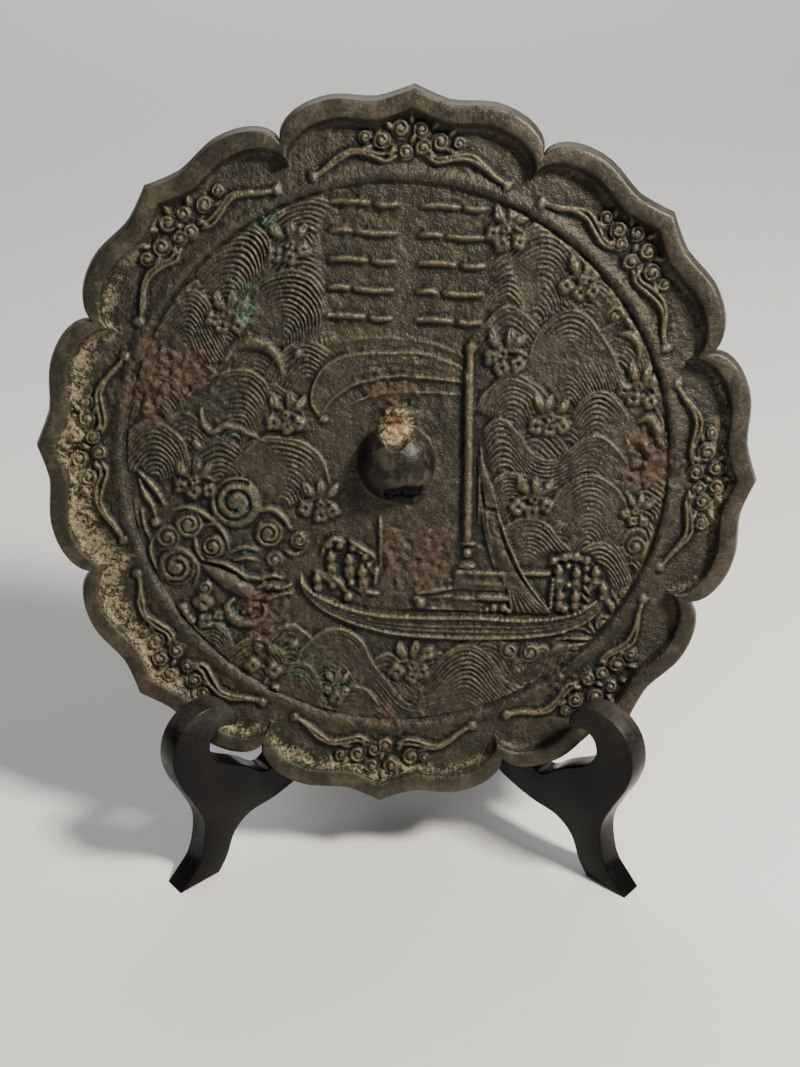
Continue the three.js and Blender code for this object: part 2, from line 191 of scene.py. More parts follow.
class Casting:
    """The height of the decorated side, sampled every PITCH millimetres."""

    def __init__(self):
        self.ground = np.zeros((STEPS, STEPS), np.float32)
        self.height = self.ground.copy()
        self.wobble, self.wear = cloud(4.0), np.clip(cloud(6.0), -2, 2)

    def stroke(self, points, width, height, ends=0.4, sharp=0.8, plain=False):
        """A raised line. width and height may change along it; ends is their share at the tips."""
        line = np.asarray(points, float) if plain else curve(points)
        part = np.linspace(0, 1, len(line))
        fade = ends + (1 - ends) * np.sin(np.pi * np.clip(part, 0, 1)) ** 0.5
        half = np.interp(part, np.linspace(0, 1, np.size(width)), np.atleast_1d(width)) * fade / 2
        top = np.interp(part, np.linspace(0, 1, np.size(height)), np.atleast_1d(height)) * fade
        for i in range(len(line) - 1):
            (x0, y0), (x1, y1) = line[i], line[i + 1]
            reach = max(half[i], half[i + 1])
            where, x, y = window(min(x0, x1) - reach, max(x0, x1) + reach,
                                 min(y0, y1) - reach, max(y0, y1) + reach)
            dx, dy = x1 - x0, y1 - y0
            along = np.clip(((x - x0) * dx + (y - y0) * dy) / (dx * dx + dy * dy + 1e-9), 0, 1)
            wide = half[i] + (half[i + 1] - half[i]) * along
            away = ((x - x0 - dx * along) ** 2 + (y - y0 - dy * along) ** 2) / (wide * wide)
            rise = (top[i] + (top[i + 1] - top[i]) * along) * np.clip(1 - away, 0, 1) ** sharp
            self.height[where] = np.maximum(self.height[where], self.ground[where] + rise)

    def dome(self, x0, y0, radius, height, sharp=0.6):
        """A round boss. A small sharp makes it flat on top."""
        where, x, y = window(x0 - 2 * radius, x0 + 2 * radius, y0 - 2 * radius, y0 + 2 * radius)
        across, up = (x - x0) / radius, (y - y0) / radius
        rise = height * np.clip(1 - across * across - up * up, 0, 1) ** sharp
        self.height[where] = np.maximum(self.height[where], self.ground[where] + rise)

    def blossom(self, x, y, radius, height):
        """A lump of small round petals with a dimple in its middle."""
        first = 360 * random.random()
        for turn in np.radians(first + np.arange(4) * 90):
            self.dome(x + 0.42 * radius * math.cos(turn), y + 0.42 * radius * math.sin(turn),
                      radius * random.uniform(0.52, 0.66), height * random.uniform(0.85, 1.1), 0.5)
        self.groove(np.array([(x, y), (x + 0.05, y)]), radius * 0.5, height * 0.35)

    def curl(self, x, y, radius, height, start=90, turns=1.5, hand=1):
        """A flat round boss with a spiral groove that winds in to a bead."""
        self.dome(x, y, radius, height, 0.4)
        part = np.linspace(0, 1, int(20 * turns) + 2)
        angle = np.radians(start + hand * 360 * turns * part)
        reach = radius * (0.86 - 0.58 * part)
        line = np.stack([x + reach * np.cos(angle), y + reach * np.sin(angle)], 1)
        self.groove(line, 0.11 * radius + 0.36, height * 0.5)
        self.dome(x, y, radius * 0.26, height * 1.05)

    def groove(self, line, width, depth):
        """A line pressed into what is there already."""
        reach = width / 2
        where, x, y = window_around(line, reach)
        cut = np.zeros(np.broadcast_shapes(x.shape, y.shape), np.float32)
        for (x0, y0), (x1, y1) in zip(line[:-1], line[1:]):
            dx, dy = x1 - x0, y1 - y0
            along = np.clip(((x - x0) * dx + (y - y0) * dy) / (dx * dx + dy * dy + 1e-9), 0, 1)
            away = ((x - x0 - dx * along) ** 2 + (y - y0 - dy * along) ** 2) / (reach * reach)
            cut = np.maximum(cut, np.clip(1 - away, 0, 1) ** 0.7)
        self.height[where] -= depth * cut

    def inside(self, outline, x, y):
        """True at the points within a closed outline."""
        outline = np.asarray(outline, float)
        result = np.zeros((y.shape[0], x.shape[1]), bool)
        for (x0, y0), (x1, y1) in zip(outline, np.roll(outline, -1, 0)):
            if y0 == y1:
                continue
            crosses = ((y0 > y) != (y1 > y)) & (x < (x1 - x0) * (y - y0) / (y1 - y0) + x0)
            result ^= crosses
        return result

    def plate(self, outline, height):
        """Raises everything inside an outline, and becomes the ground of what is drawn later."""
        outline = np.asarray(outline, float)
        where, x, y = window_around(outline)
        mask = self.inside(outline, x, y)
        level = self.ground[where] + height
        self.height[where] = np.where(mask, level, self.height[where])
        self.ground[where] = np.where(mask, level, self.ground[where])

    def clear(self, outline, soft=0.8):
        """Smooths everything inside an outline down to the floor, with a soft edge."""
        outline = np.asarray(outline, float)
        where, x, y = window_around(outline, 2 * soft)
        keep = 1 - box_blur(self.inside(outline, x, y).astype(np.float32), soft / 2, 2)
        self.height[where] *= keep
        self.ground[where] *= keep

    def wave(self, crest, root, lines, spacing=1.2, swell=0.42, rib=0.5, edge=0.55, fade=None):
        """Ribs that repeat a crest line, drawn in towards a root point below it.

        fade = (x, y, radius) wears the ribs away around a point."""
        line = curve(crest, 0.6)
        away = line - np.asarray(root, float)
        angle = np.degrees(np.arctan2(away[:, 1], away[:, 0]))
        reach = np.hypot(away[:, 0], away[:, 1])
        order = np.argsort(angle)
        angle, reach = angle[order], reach[order]
        top = reach.max()
        depth = lines * spacing
        low, high = line.min(0), line.max(0)
        pull = max(1 - depth / top, 0)
        inner = np.asarray(root) + away * pull
        low = np.minimum(low, inner.min(0)) - 1
        high = np.maximum(high, inner.max(0)) + 1
        where, x, y = window(low[0], high[0], low[1], high[1])
        dx, dy = x - root[0], y - root[1]
        turn = np.degrees(np.arctan2(dy, dx))
        edge_reach = np.interp(turn, angle, reach)
        part = np.hypot(dx, dy) / edge_reach
        count = (1 - part) * top / spacing + 0.22 * self.wobble[where]
        side = np.minimum(turn - angle[0], angle[-1] - turn) / (angle[-1] - angle[0])
        mask = (count > -0.5) & (count < lines) & (side > 0)
        level = swell * (1 - 0.75 * np.clip(count / lines, 0, 1)) * smooth(-0.5, 0.2, count)
        ribs = rib * (0.5 + 0.5 * np.cos(2 * np.pi * count)) ** 0.8 * (1 + 0.35 * self.wear[where])
        ribs *= smooth(0, 0.06, side) * smooth(lines, lines - 1, count)
        lip = edge * np.exp(-((count - 0.05) / 0.5) ** 2) * smooth(0, 0.08, side)
        if fade:
            worn = np.hypot(x - fade[0], y - fade[1]) / fade[2]
            ribs = ribs * smooth(0.45, 1.0, worn)
        shape = level + np.maximum(ribs, lip)
        soft = smooth(0, 0.05, side) * smooth(-0.5, -0.2, count)
        new = self.height[where] * (1 - soft) + shape * soft
        self.height[where] = np.where(mask, new, self.height[where])
        self.ground[where] = np.where(mask, level * soft + self.ground[where] * (1 - soft),
            self.ground[where])

    def spray(self, x, y, size, turn, layout):
        """Three leaves over four lumpy blossoms, in one of two layouts."""
        cosine, sine = math.cos(math.radians(turn)), math.sin(math.radians(turn))

        def at(right, up):
            right += 0.25 * random.standard_normal()
            up += 0.25 * random.standard_normal()
            return (x + size * (right * cosine - up * sine), y + size * (right * sine + up * cosine))

        for lean, tall in ((-1, 5.0), (0.2, 5.6), (1.25, 4.4)):
            base, tip, middle = at(lean * 1.2, 0.9), at(lean * 3.3, tall), at(lean * 2.7, 2.9)
            self.stroke([base, middle, tip], [2.3 * size, 3.0 * size, 1.0 * size], [1.0, 1.3, 1.0],
                ends=0.6, sharp=0.6)
            self.groove(curve([middle, tip]), 0.55 * size, 0.35)
        self.stroke([at(-4.6, -1.4), at(-2.4, -0.2), at(0, 0.5), at(2.8, 0), at(4.8, -1)], 1.5 * size, 0.9)
        places = (((-3.2, -2.2, 2.2), (0.2, -3.2, 2.1), (3.2, -1.9, 2.0), (0.2, -0.3, 1.6)),
                  ((-3.3, -1.6, 2.0), (-0.8, -3.3, 2.1), (2.6, -2.7, 2.1), (-0.4, -0.3, 1.6)))[layout]
        for right, up, radius in places:
            self.blossom(*at(right, up), radius * size, 1.2)

    def person(self, x, y, tall=4.6, lean=0.0, head=1.35):
        """A round head over a robed body, with sleeves."""
        foot = (x + lean * tall, y - tall)
        self.stroke([(x, y - head * 0.8), (x + lean * tall * 0.5, y - tall * 0.6), foot], [2.0, 3.0, 2.6],
            [1.0, 1.2, 0.9], ends=0.85, sharp=0.6)
        self.stroke([(x - 1.1, y - 1.9), (x + 0.2, y - 2.7), (x + 1.2, y - 2.1)], 0.9, 1.45)
        self.groove(curve([(x + 0.1, y - 2.9), (foot[0] + 0.1, foot[1] + 0.3)]), 0.5, 0.4)
        self.dome(x, y, head, 0.8 + 0.5 * head, 0.5)
        self.dome(x - 0.2, y + head * 0.75, head * 0.55, 1.35, 0.5)


# %% [markdown]
# ## The waves
# Small waves in rings fill the sea first. The large ones lie over them from the top down, and
# each is a crest line, the root that its ribs draw in to, the number and spacing of the ribs,
# and a spot where they are worn away.

# %% The waves
cast = Casting()


def strokes(*table, ends=0.4):
    for points, width, height in table:
        cast.stroke(points, width, height, ends=ends)


def domes(*table, sharp=0.6):
    for x, y, radius, height in table:
        cast.dome(x, y, radius, height, sharp)


def taken(x, y):
    """True where the panels, the sail, the beast or the ship leave no room for small waves."""
    panels = abs(x + 1) < 21 and y > 14
    sail = abs(x) < 24 and -30 < y < 20
    beast = x < -22 and -43 < y < -3
    ship = x > -25 and -43 < y < -26
    return panels or sail or beast or ship


small_waves = []
for distance, count, size in ((59.5, 30, 9), (51, 26, 10), (42, 20, 10), (33, 15, 10)):
    for i in range(count):
        turn = 2 * math.pi * (i + 0.5 * (distance % 2)) / count
        x, y = distance * math.cos(turn), distance * math.sin(turn)
        if not taken(x, y):
            small_waves.append((x, y, size))
small_waves.sort(key=lambda wave: -wave[1])
for x, y, size in small_waves:
    half = size * (0.9 + 0.2 * random.random())
    crest = [(x - half, y - half * 0.75), (x - half * 0.7, y - half * 0.1), (x, y + half * 0.35),
             (x + half * 0.7, y - half * 0.1), (x + half, y - half * 0.75)]
    cast.wave(crest, (x, y - half), 8, 1.25, swell=0.3, rib=0.42, edge=0.5)

WAVES = [
    ([(-34, 53), (-29, 58), (-22, 60.5), (-16.5, 58.5)], (-25, 44), 7, 1.25, None),
    ([(-51, 43.5), (-48, 47.5), (-43, 51.5), (-37, 53.4), (-33, 51.6), (-31, 47), (-32, 40.5)], (-42, 33),
        15, 1.25, None),
    ([(-59.5, 27), (-57, 31.5), (-53, 35.8), (-48.5, 38), (-45.5, 35.8), (-43.5, 31), (-40.5, 25.5),
        (-37.5, 21.5)], (-52, 20), 14, 1.2, (-57, 18, 12)),
    ([(-37.8, 29), (-36.8, 36), (-32.5, 41.2), (-27, 43.3), (-21.8, 42), (-18.4, 38), (-17.2, 32),
        (-18, 28)], (-28, 26), 14, 1.15, (-33, 31, 7)),
    ([(-51, 11.5), (-46.5, 16.8), (-40.5, 19.4), (-35.3, 19.7), (-31.6, 17), (-29.8, 12.5), (-29.6, 7)],
        (-38.5, 1), 14, 1.2, (-46, 10, 6)),
    ([(-64.5, 1), (-61.5, 5), (-56.5, 6.4), (-52.3, 4.6), (-49.8, 1), (-48.6, -5)], (-57.5, -8), 11, 1.15,
        None),
    ([(-39.5, -3), (-34, 2.6), (-27.5, 4.6), (-21.5, 3.2), (-17, -1), (-15, -7)], (-27, -13), 13, 1.2,
        (-32, -4, 9)),
    ([(22, 49.5), (26, 54), (31, 56.4), (35.5, 55.4), (39, 52), (41.8, 47), (42, 43)], (30, 33), 16, 1.25,
        (24, 42, 9)),
    ([(50, 36), (54, 35), (58, 30), (60, 25)], (50, 22), 9, 1.2, None),
    ([(29.2, 24), (30.5, 30), (33.5, 35), (38.5, 37.6), (43, 36), (47, 31), (50.2, 25.5), (52.6, 20)],
        (39.5, 14), 18, 1.2, (33.5, 25, 8.5)),
    ([(20, 14.5), (22, 18.8), (25.5, 21.2), (29.5, 20.2), (32.5, 17), (34.5, 12.5)], (26, 6), 11, 1.15,
        None),
    ([(40, 12.5), (43.5, 17.2), (47.3, 18.6), (51.5, 16.2), (55.5, 10.5), (57, 5)], (46.5, 1), 13, 1.15,
        None),
    ([(55, 20), (59, 17), (62, 12), (63, 6)], (52, 4), 9, 1.2, (60, 8, 9)),
    ([(19.3, 7), (21.8, 10.8), (25.2, 11), (28.8, 7.6), (32.2, 3.8), (36.5, 2.6), (40.5, 5.2), (44.5, 8.4),
        (48.5, 8.6), (52.5, 5.2), (56, 0)], (37, -60), 9, 1.25, None),
    ([(21.5, -6), (24, -1.6), (28, -0.4), (32.5, -1.8), (36, -6)], (29, -14), 10, 1.15, (34, -8, 4)),
    ([(35.3, -11), (38.5, -5.6), (42.5, -1.8), (46.8, -0.5), (50.8, -2), (54.5, -5.8), (57.5, -11.5)],
        (46.5, -21), 16, 1.2, (41, -10, 4)),
    ([(55, -8), (59, -9.5), (62, -14), (62.5, -20)], (54, -22), 8, 1.2, (58, -10, 4)),
    ([(23.8, -18.5), (27.2, -14), (31.8, -12), (36.4, -13.2), (40.3, -16.8), (44.5, -21.5)], (32.5, -28),
        13, 1.15, None),
    ([(42.5, -24), (44.6, -19.8), (49.3, -17), (53.2, -18.4), (56, -22), (58.8, -27.5)], (49.5, -33), 12,
        1.15, None),
    ([(-49.5, -46), (-46, -43), (-42, -41.8), (-38.8, -44), (-37, -49)], (-44, -56), 9, 1.1, None),
    ([(-40, -50), (-36, -46.5), (-31, -45.5), (-26, -47.5), (-23.5, -52)], (-33, -60), 9, 1.2,
        (-31, -48, 5)),
    ([(39, -44), (43, -42.4), (48, -42.6), (52, -45)], (45, -54), 7, 1.2, None),
    ([(-23, -50), (-19.5, -45.5), (-15.5, -42.2), (-11, -41.6), (-7.2, -44), (-4, -48.3), (-0.5, -53),
        (4, -58.5), (9, -63)], (-16, -66), 15, 1.2, None),
    ([(-31, -58), (-27.5, -53), (-23.5, -50.6), (-19.5, -50.8), (-16.6, -54.5), (-14.8, -59.5), (-12, -64)],
        (-24, -70), 10, 1.15, None),
    ([(9, -53.5), (12, -49), (16, -45), (20, -43.7), (23.8, -46), (27.5, -50), (31.5, -53), (35.5, -53.2),
        (38.7, -50), (40.5, -45)], (21, -110), 14, 1.25, None),
    ([(-14, -59), (-10, -56), (-5, -57), (-1, -61)], (-8, -69), 6, 1.2, None),
]
for crest, root, lines, spacing, worn in WAVES:
    cast.wave(crest, root, lines, spacing, fade=worn)
LINE_WIDTH = 0.95
# the trough under the flower at the bottom
for k in range(6):
    cast.stroke([(-1 + k*1.2, -55 + 0.2*k), (3 + k*0.6, -59.6 + 1.1*k), (8, -61.6 + 1.15*k),
                 (13 - k*0.4, -60 + 1.1*k), (17 - k*1.2, -56.5 + 0.5*k)], LINE_WIDTH, 0.5)
# nested lines beside the two curls at the bottom right, the outermost shorter than the others
for k in range(5):
    gap = 1.15 * k
    nested = [(24 - 0.2*gap, -43.6 - 0.5*gap), (27.5 - 0.4*gap, -46.5 - 0.8*gap),
        (30 - 0.4*gap, -50.3 - gap), (33.5, -53 - gap), (37 + 0.7*gap, -51.5 - 0.8*gap), (38.8 + gap, -47),
        (38.8 + gap, -42.6)]
    cast.stroke(nested if k < 4 else nested[2:], LINE_WIDTH, 0.55)

# %% [markdown]
# ## The beast
# The water behind the ship and the ground of the two panels stay plain. The beast rolls among
# curls of foam before the bow.

# %% The beast
PLAIN = [(-13.5, 28.5), (15, 29.5), (15, 1), (20.5, -2), (25, -12), (28, -25), (5, -36), (-23, -28),
    (-21, -17), (-12.5, -13), (-14, 0), (-19, 6), (-21.5, 12), (-22, 17), (-19, 22)]
cast.clear(PLAIN, 1.6)
LETTERS = [(-19.2, 29), (15, 29), (18.2, 32), (18.6, 40), (20.4, 44), (19.4, 50), (18.6, 58), (17, 66),
    (-16, 66), (-18, 58), (-20.5, 52), (-20.2, 45), (-18.6, 40), (-17.6, 33)]
cast.clear(LETTERS, 2.2)

CLOUD_GROUND = [(-57, -13), (-50, -12), (-44, -8), (-40, -4.5), (-33, -6), (-29, -11), (-24, -14),
    (-19, -18), (-22, -27), (-24, -34), (-26, -43), (-38, -42.5), (-47, -34), (-57, -32), (-58.5, -22)]
cast.clear(CLOUD_GROUND, 1.0)
CURLS = [(-37.8, -11.6, 6.3, 60, 1.6, 1, 1.6), (-48.9, -17.5, 3.4, 150, 1.5, -1, 1.3),
    (-54, -21, 3.2, 200, 1.4, 1, 1.1), (-43.2, -22.6, 3.2, 100, 1.5, 1, 1.3),
    (-51.6, -28, 4.7, 250, 1.6, 1, 1.3), (-29.7, -18.7, 3.5, 120, 1.5, -1, 1.3),
    (-22.3, -19.9, 2.3, 60, 1.3, -1, 1.1), (-44.8, -32.9, 2.0, 90, 1.2, 1, 1.2),
    (-28.2, -25.2, 2.3, 180, 1.2, 1, 1.0)]
for x, y, size, start, turns, hand, height in CURLS:
    cast.curl(x, y, size, height, start=start, turns=turns, hand=hand)
ARMS = [
    ([(-53, -14.2), (-49.5, -13.2), (-45.5, -14.6), (-42.3, -16.8), (-40, -19.8), (-39.2, -23)], 1.7, 1.0),
    ([(-33.5, -13.8), (-29.5, -12.6), (-26.3, -14.6), (-24.4, -17.6)], 1.9, 1.0),
    ([(-47.5, -20.5), (-46.6, -24), (-45, -26.5)], 1.5, 0.9),
    ([(-57, -19.5), (-58, -24), (-56.8, -28.5), (-55, -32)], 1.4, 0.8),
    ([(-56, -24), (-52, -23.4), (-48.6, -24.8), (-46.4, -28.4), (-47.4, -33)], 1.5, 0.9),
    ([(-39, -24), (-35.5, -22.3), (-32, -23.2)], 1.5, 0.8),
    ([(-38.5, -26), (-34.5, -25), (-31.5, -26)], 1.2, 0.7),
    ([(-26, -22.5), (-23.6, -23.6), (-21.2, -22.6), (-20.2, -20)], 1.3, 0.9),
    ([(-46, -17.8), (-43, -17), (-40.6, -18.4)], 1.3, 0.8),
]
strokes(*ARMS)
BEAST = [
    ([(-45.6, -27.2), (-42.4, -28.8), (-38.6, -31), (-35, -33), (-31, -33.8)], [1.6, 4.2, 5.2, 4.4, 2.0],
        [1.0, 1.5, 1.7, 1.5, 1.0]),
    ([(-44.5, -26), (-40, -26.6), (-36.6, -28.4), (-34, -30.6)], 1.4, 1.7),
    ([(-36.2, -27.2), (-35, -29.2), (-31.5, -29.8), (-28.8, -29), (-26.2, -29.6)], [1.0, 1.6, 1.2], 1.3),
    ([(-32.6, -32.4), (-29.5, -31.4), (-26.6, -32), (-23.8, -31)], 1.5, 1.2),
    ([(-33.6, -35), (-29.5, -34.6), (-25.6, -33.4), (-23.6, -33.2)], 1.3, 1.1),
    ([(-37.6, -35), (-39.2, -37.6), (-37.4, -40.4), (-33.6, -41.3), (-30.6, -39.8), (-29.9, -37.4),
        (-31, -35.6)], [2.0, 3.4, 3.6, 2.8, 2.0, 1.4], [1.2, 1.5, 1.2]),
    ([(-61.4, -5), (-58.6, -7.4), (-56.2, -10.4), (-54.6, -13.4)], [1.0, 1.9, 1.2], 1.1),
    ([(-61, -6.8), (-59.6, -10.4), (-57.6, -13.4), (-56.8, -16.4)], [1.0, 1.8, 1.0], 1.0),
    ([(-60.4, -14), (-59.4, -18.4), (-57.8, -22.6)], 1.1, 0.7),
    ([(-62, -12), (-61.2, -18), (-59.6, -24)], 1.0, 0.6),
    ([(-31, -43.6), (-28, -42.8), (-24.4, -41.4), (-22.4, -41)], 1.5, 0.9),
]
strokes(*BEAST)
domes((-36.6, -31.6, 1.0, 2.1), (-29.4, -31.9, 0.9, 1.4), (-33.8, -37.6, 1.6, 1.1), (-57, -17.4, 1.3, 0.9),
    (-22.8, -45.8, 1.5, 1.0), (-27.6, -47.5, 1.6, 0.8), (-31.5, -47.2, 1.3, 0.7), (-35, -38.6, 1.1, 1.3),
    (-32.4, -36.6, 0.9, 1.3))
# whale-backed forms and knobs among the waves
FORMS = [
    ([(-40.6, 21.8), (-39.3, 25), (-35.4, 26.6), (-31, 25.4), (-28.3, 22.4), (-27.3, 18.6)],
        [2.2, 3.4, 3.8, 3.0, 2.0], 1.1),
    ([(-46.4, 10.6), (-46, 7.4), (-43.6, 5.2), (-40.4, 6.8), (-36, 5.6), (-31.4, 3.6)],
        [1.6, 2.4, 2.0, 2.0, 1.4], 1.1),
    ([(-48, 2.6), (-46.6, 1.2)], 2.6, 1.1),
    ([(46.6, 37), (48.6, 38.2), (51.2, 37), (52.6, 34)], [2.2, 2.8, 2.0], 1.0),
    ([(49.6, 32.8), (52.4, 32.6), (54.8, 30.2), (55.2, 27)], [1.6, 2.6, 2.2], 1.0),
    ([(53.4, 33.6), (56.6, 31.4), (57.6, 27.6)], 1.8, 0.9),
    ([(56, 12.6), (58.6, 13.6), (60.6, 11.2), (61.6, 7.6)], [2.2, 3.0, 2.4], 1.1),
    ([(57.4, 8.4), (59, 5.4), (61.8, 2.8)], 2.4, 1.0),
    ([(54.6, -16), (56.4, -13.6), (59.2, -13.2), (61, -15.8)], 1.5, 0.9),
    ([(60, -19.4), (61.8, -20.4), (61.4, -22.6)], 1.4, 0.8),
]
strokes(*FORMS)
cast.curl(48.9, 36.4, 1.7, 1.3)
cast.curl(57.9, -17.3, 3.3, 0.9, start=30)
for x, y, size in ((-60.6, 19.8, 2.0), (-57.9, 15.6, 1.6), (-59.3, 9.6, 2.2), (-55, 14.8, 1.5),
        (-60.2, 15, 1.4), (-56.6, 11.8, 1.2), (-61.6, 24.6, 1.3), (-24, 24.4, 1.3), (61, -6, 1.4),
        (59.6, -1.6, 1.6), (56.4, 2.6, 1.4)):
    cast.dome(x, y, size, 0.9)

# %% [markdown]
# ## The ship
# The hull is a plate with strakes and a beaded rail. Houses, people and a canopy stand on deck.

# %% The ship
GUNWALE = [(-22.6, -28.4), (-20.6, -31), (-17.5, -33.3), (-13, -35.2), (-7, -36.7), (0, -37.4), (10, -37.3),
    (21, -36.7), (30, -36.9), (38, -36.2), (44, -34.8), (48, -32.6), (50.6, -30.2)]
KEEL = [(-22.6, -29.6), (-20, -33.6), (-16.5, -36.8), (-11, -39.4), (-4, -41.4), (3, -42.5), (13, -42.8),
    (24, -42.4), (34, -41.5), (42, -39.8), (48, -36.8), (52, -32.6)]
gunwale, keel = curve(GUNWALE), curve(KEEL)
hull = np.vstack([gunwale, keel[::-1]])
cast.clear(hull)
cast.plate(hull, 0.55)
DECK = [(-24, -26), (-17, -18), (-3, -19), (0, -20.5), (14.5, -20), (15, -24), (30, -24), (38, -19.5),
    (47, -19.5), (52, -24), (53, -30)]
cast.clear(np.vstack([DECK, gunwale[::-1]]))


def strake(share):
    """A line along the hull, from the gunwale at 0 to the keel at 1."""
    count = 60
    above = gunwale[np.linspace(0, len(gunwale) - 1, count).astype(int)]
    below = keel[np.linspace(0, len(keel) - 1, count).astype(int)]
    return (above * (1 - share) + below * share)[2:-1]


def slab(x0, x1, y0, y1, height):
    cast.plate([(x0, y0), (x1, y0), (x1, y1), (x0, y1)], height)


RAIL_SHARE = 0.03
STRAKES = [(RAIL_SHARE, 1.5, 1.15, 0.6), (0.24, 0.75, 0.4, 0.5), (0.42, 0.9, 0.5, 0.5),
    (0.64, 0.8, 0.4, 0.5), (0.92, 1.15, 0.55, 0.5)]
for share, width, height, ends in STRAKES:
    cast.stroke(strake(share), width, height, ends=ends, plain=True)
rail = strake(RAIL_SHARE)
spots = np.cumsum(np.r_[0, np.hypot(*np.diff(rail, axis=0).T)])
for spot in np.arange(3, spots[-1] - 1, 1.35):
    x, y = np.interp(spot, spots, rail[:, 0]), np.interp(spot, spots, rail[:, 1])
    if x > 22 or random.random() < 0.7:
        bead_x = x + 0.15 * random.standard_normal()
        bead_height = 0.9 + 0.5 * random.random() + (0.35 if x > 22 else 0.1)
        cast.dome(bead_x, y, 0.68, bead_height)
slab(15.4, 27.8, -30, -25.2, 0.45)
strokes(([(15.4, -25.8), (26.6, -25.6)], 1.5, 0.7), ([(16.5, -28.4), (27.6, -28.4)], 0.7, 0.35), ends=0.8)
strokes(([(6.2, -31.6), (10, -30.9), (15.4, -29.9)], 1.6, 0.9), ([(9.5, -32.4), (15.4, -31.9)], 0.9, 0.6))
strokes(([(21.4, -31.8), (29.6, -31.6)], 2.2, 1.15), ([(15.6, -32.3), (21.2, -32.3)], 1.5, 0.7),
        ([(15.8, -34), (22.4, -33.9)], 0.9, 0.75), ends=0.8)
cast.stroke([(4, -35.4), (15, -35.2), (24, -35.3)], 0.9, 0.5)
slab(15.8, 22.2, -35, -33, 0.3)
domes((25.3, -34.3, 1.1, 1.2), (27.6, -34.2, 1.2, 1.3), (29, -34.8, 0.9, 1.1), (23.6, -34.8, 0.7, 1.0),
    (7.7, -34.2, 1.4, 1.1), (6.3, -33, 1.0, 0.9), (18, -21, 1.35, 1.5), (-3.6, -26.6, 1, 1))
# the people at the bow
strokes(
    ([(-16.6, -20.8), (-14, -19.2), (-11.2, -20.2)], 1.9, 1.2),
    ([(-16.3, -21), (-16.8, -23.6)], 1.2, 1.0),
    ([(-10.6, -19.4), (-8.2, -20.6), (-5.8, -21.9), (-3.8, -23.4)], 1.7, 1.3),
    ([(-9.6, -21), (-7.4, -22.2), (-5.2, -23.8)], 0.9, 1.1),
    ([(-18.6, -27), (-16.4, -28.2), (-13.6, -30.6)], 2.0, 1.1),
    ([(-3.3, -13.2), (-2.9, -18), (-2.6, -25.6)], [1.7, 1.3, 0.9], 0.95),
    ([(-16.2, -27.4), (-12.6, -29.6), (-10.4, -32.2)], 2.0, 1.2),
    ([(-9, -31), (-6, -31.8), (-2.6, -32.4)], 1.5, 0.9),
    ([(-21.6, -28.6), (-21, -30.6), (-19.4, -32)], 1.6, 1.3),
    ([(-5, -26.2), (-3.6, -27.6), (-3.8, -30)], 1.6, 1.1),
)
for x, y, tall in ((-6.9, -27, 5), (-14.5, -23.9, 4.4), (-10.2, -24.3, 4.6), (-17.6, -29.2, 2.8)):
    cast.person(x, y, tall, 0.1)
for x, y, size in ((-15.2, -20.6, 1.3), (-12.6, -20.8, 1.2), (-9.4, -21.2, 1.1), (-6.4, -23.2, 1.1),
        (-13.8, -30.6, 1.1), (-10, -33.4, 1.3), (-9.4, -29.8, 1.1), (-5.4, -25.4, 0.9), (7.6, -34, 1.5)):
    cast.dome(x, y, size, 1.3, 0.5)
# the people and the canopy at the stern
strokes(
    ([(37.8, -22.6), (40, -21.2), (43.4, -20.6), (47, -21.8)], 2.2, 1.2),
    ([(31.4, -25.3), (38.4, -25.2)], 1.7, 1.2),
    ([(38.9, -26), (39, -34.2)], 1.5, 1.0),
    ([(46.4, -27.6), (48.4, -30)], 1.1, 1.3),
    ([(46, -29.4), (48.2, -31.8)], 1.0, 1.2),
    ([(48.6, -26.6), (48, -28.8)], 2, 1.1),
    ([(50.6, -29.4), (53.2, -31.8), (54.8, -35.2)], [2.4, 2.4, 1.4], 1.3),
    ([(53.2, -28.6), (55.2, -31.4), (57, -33.8)], 1.6, 1.0),
)
for x, y, tall, lean in ((40.3, -24.2, 4.4, 0.1), (44.6, -24.6, 4.4, 0.05), (49.2, -24.2, 3.4, -0.1),
        (41, -30.4, 3.2, 0), (44.8, -30.4, 3.2, 0), (51.3, -28, 2.6, 0.3)):
    cast.person(x, y, tall, lean)
for x, y, size in ((38.9, -21.8, 1.2), (41.4, -20.9, 1.3), (44.2, -20.6, 1.3), (46.8, -21.4, 1.2),
        (42.4, -23, 0.9), (46.8, -23.4, 0.9), (42.3, -33.7, 1.1), (42.8, -27.6, 0.9), (47, -33, 0.9),
        (47, -26, 1.0)):
    cast.dome(x, y, size, 1.45, 0.5)
for y in np.arange(-26.6, -33.9, -1.15):
    cast.dome(38.9, y, 0.55, 1.35)
cast.curl(56.6, -29, 2.1, 1.3)
cast.curl(51.9, -37, 2.5, 1.2, start=160)
strokes(
    ([(48.4, -35.4), (49.2, -38), (51.6, -40), (55, -39.4)], 1.2, 0.9),
    ([(44, -38.8), (47.6, -38.6), (50.6, -40.4)], 1.0, 0.6),
    ([(40.4, -41.4), (45, -41), (51.4, -41)], 1.1, 0.7),
)

# %% [markdown]
# ## The rig
# The sail is a thin plate with seams. The mast and the rigging stand over it.

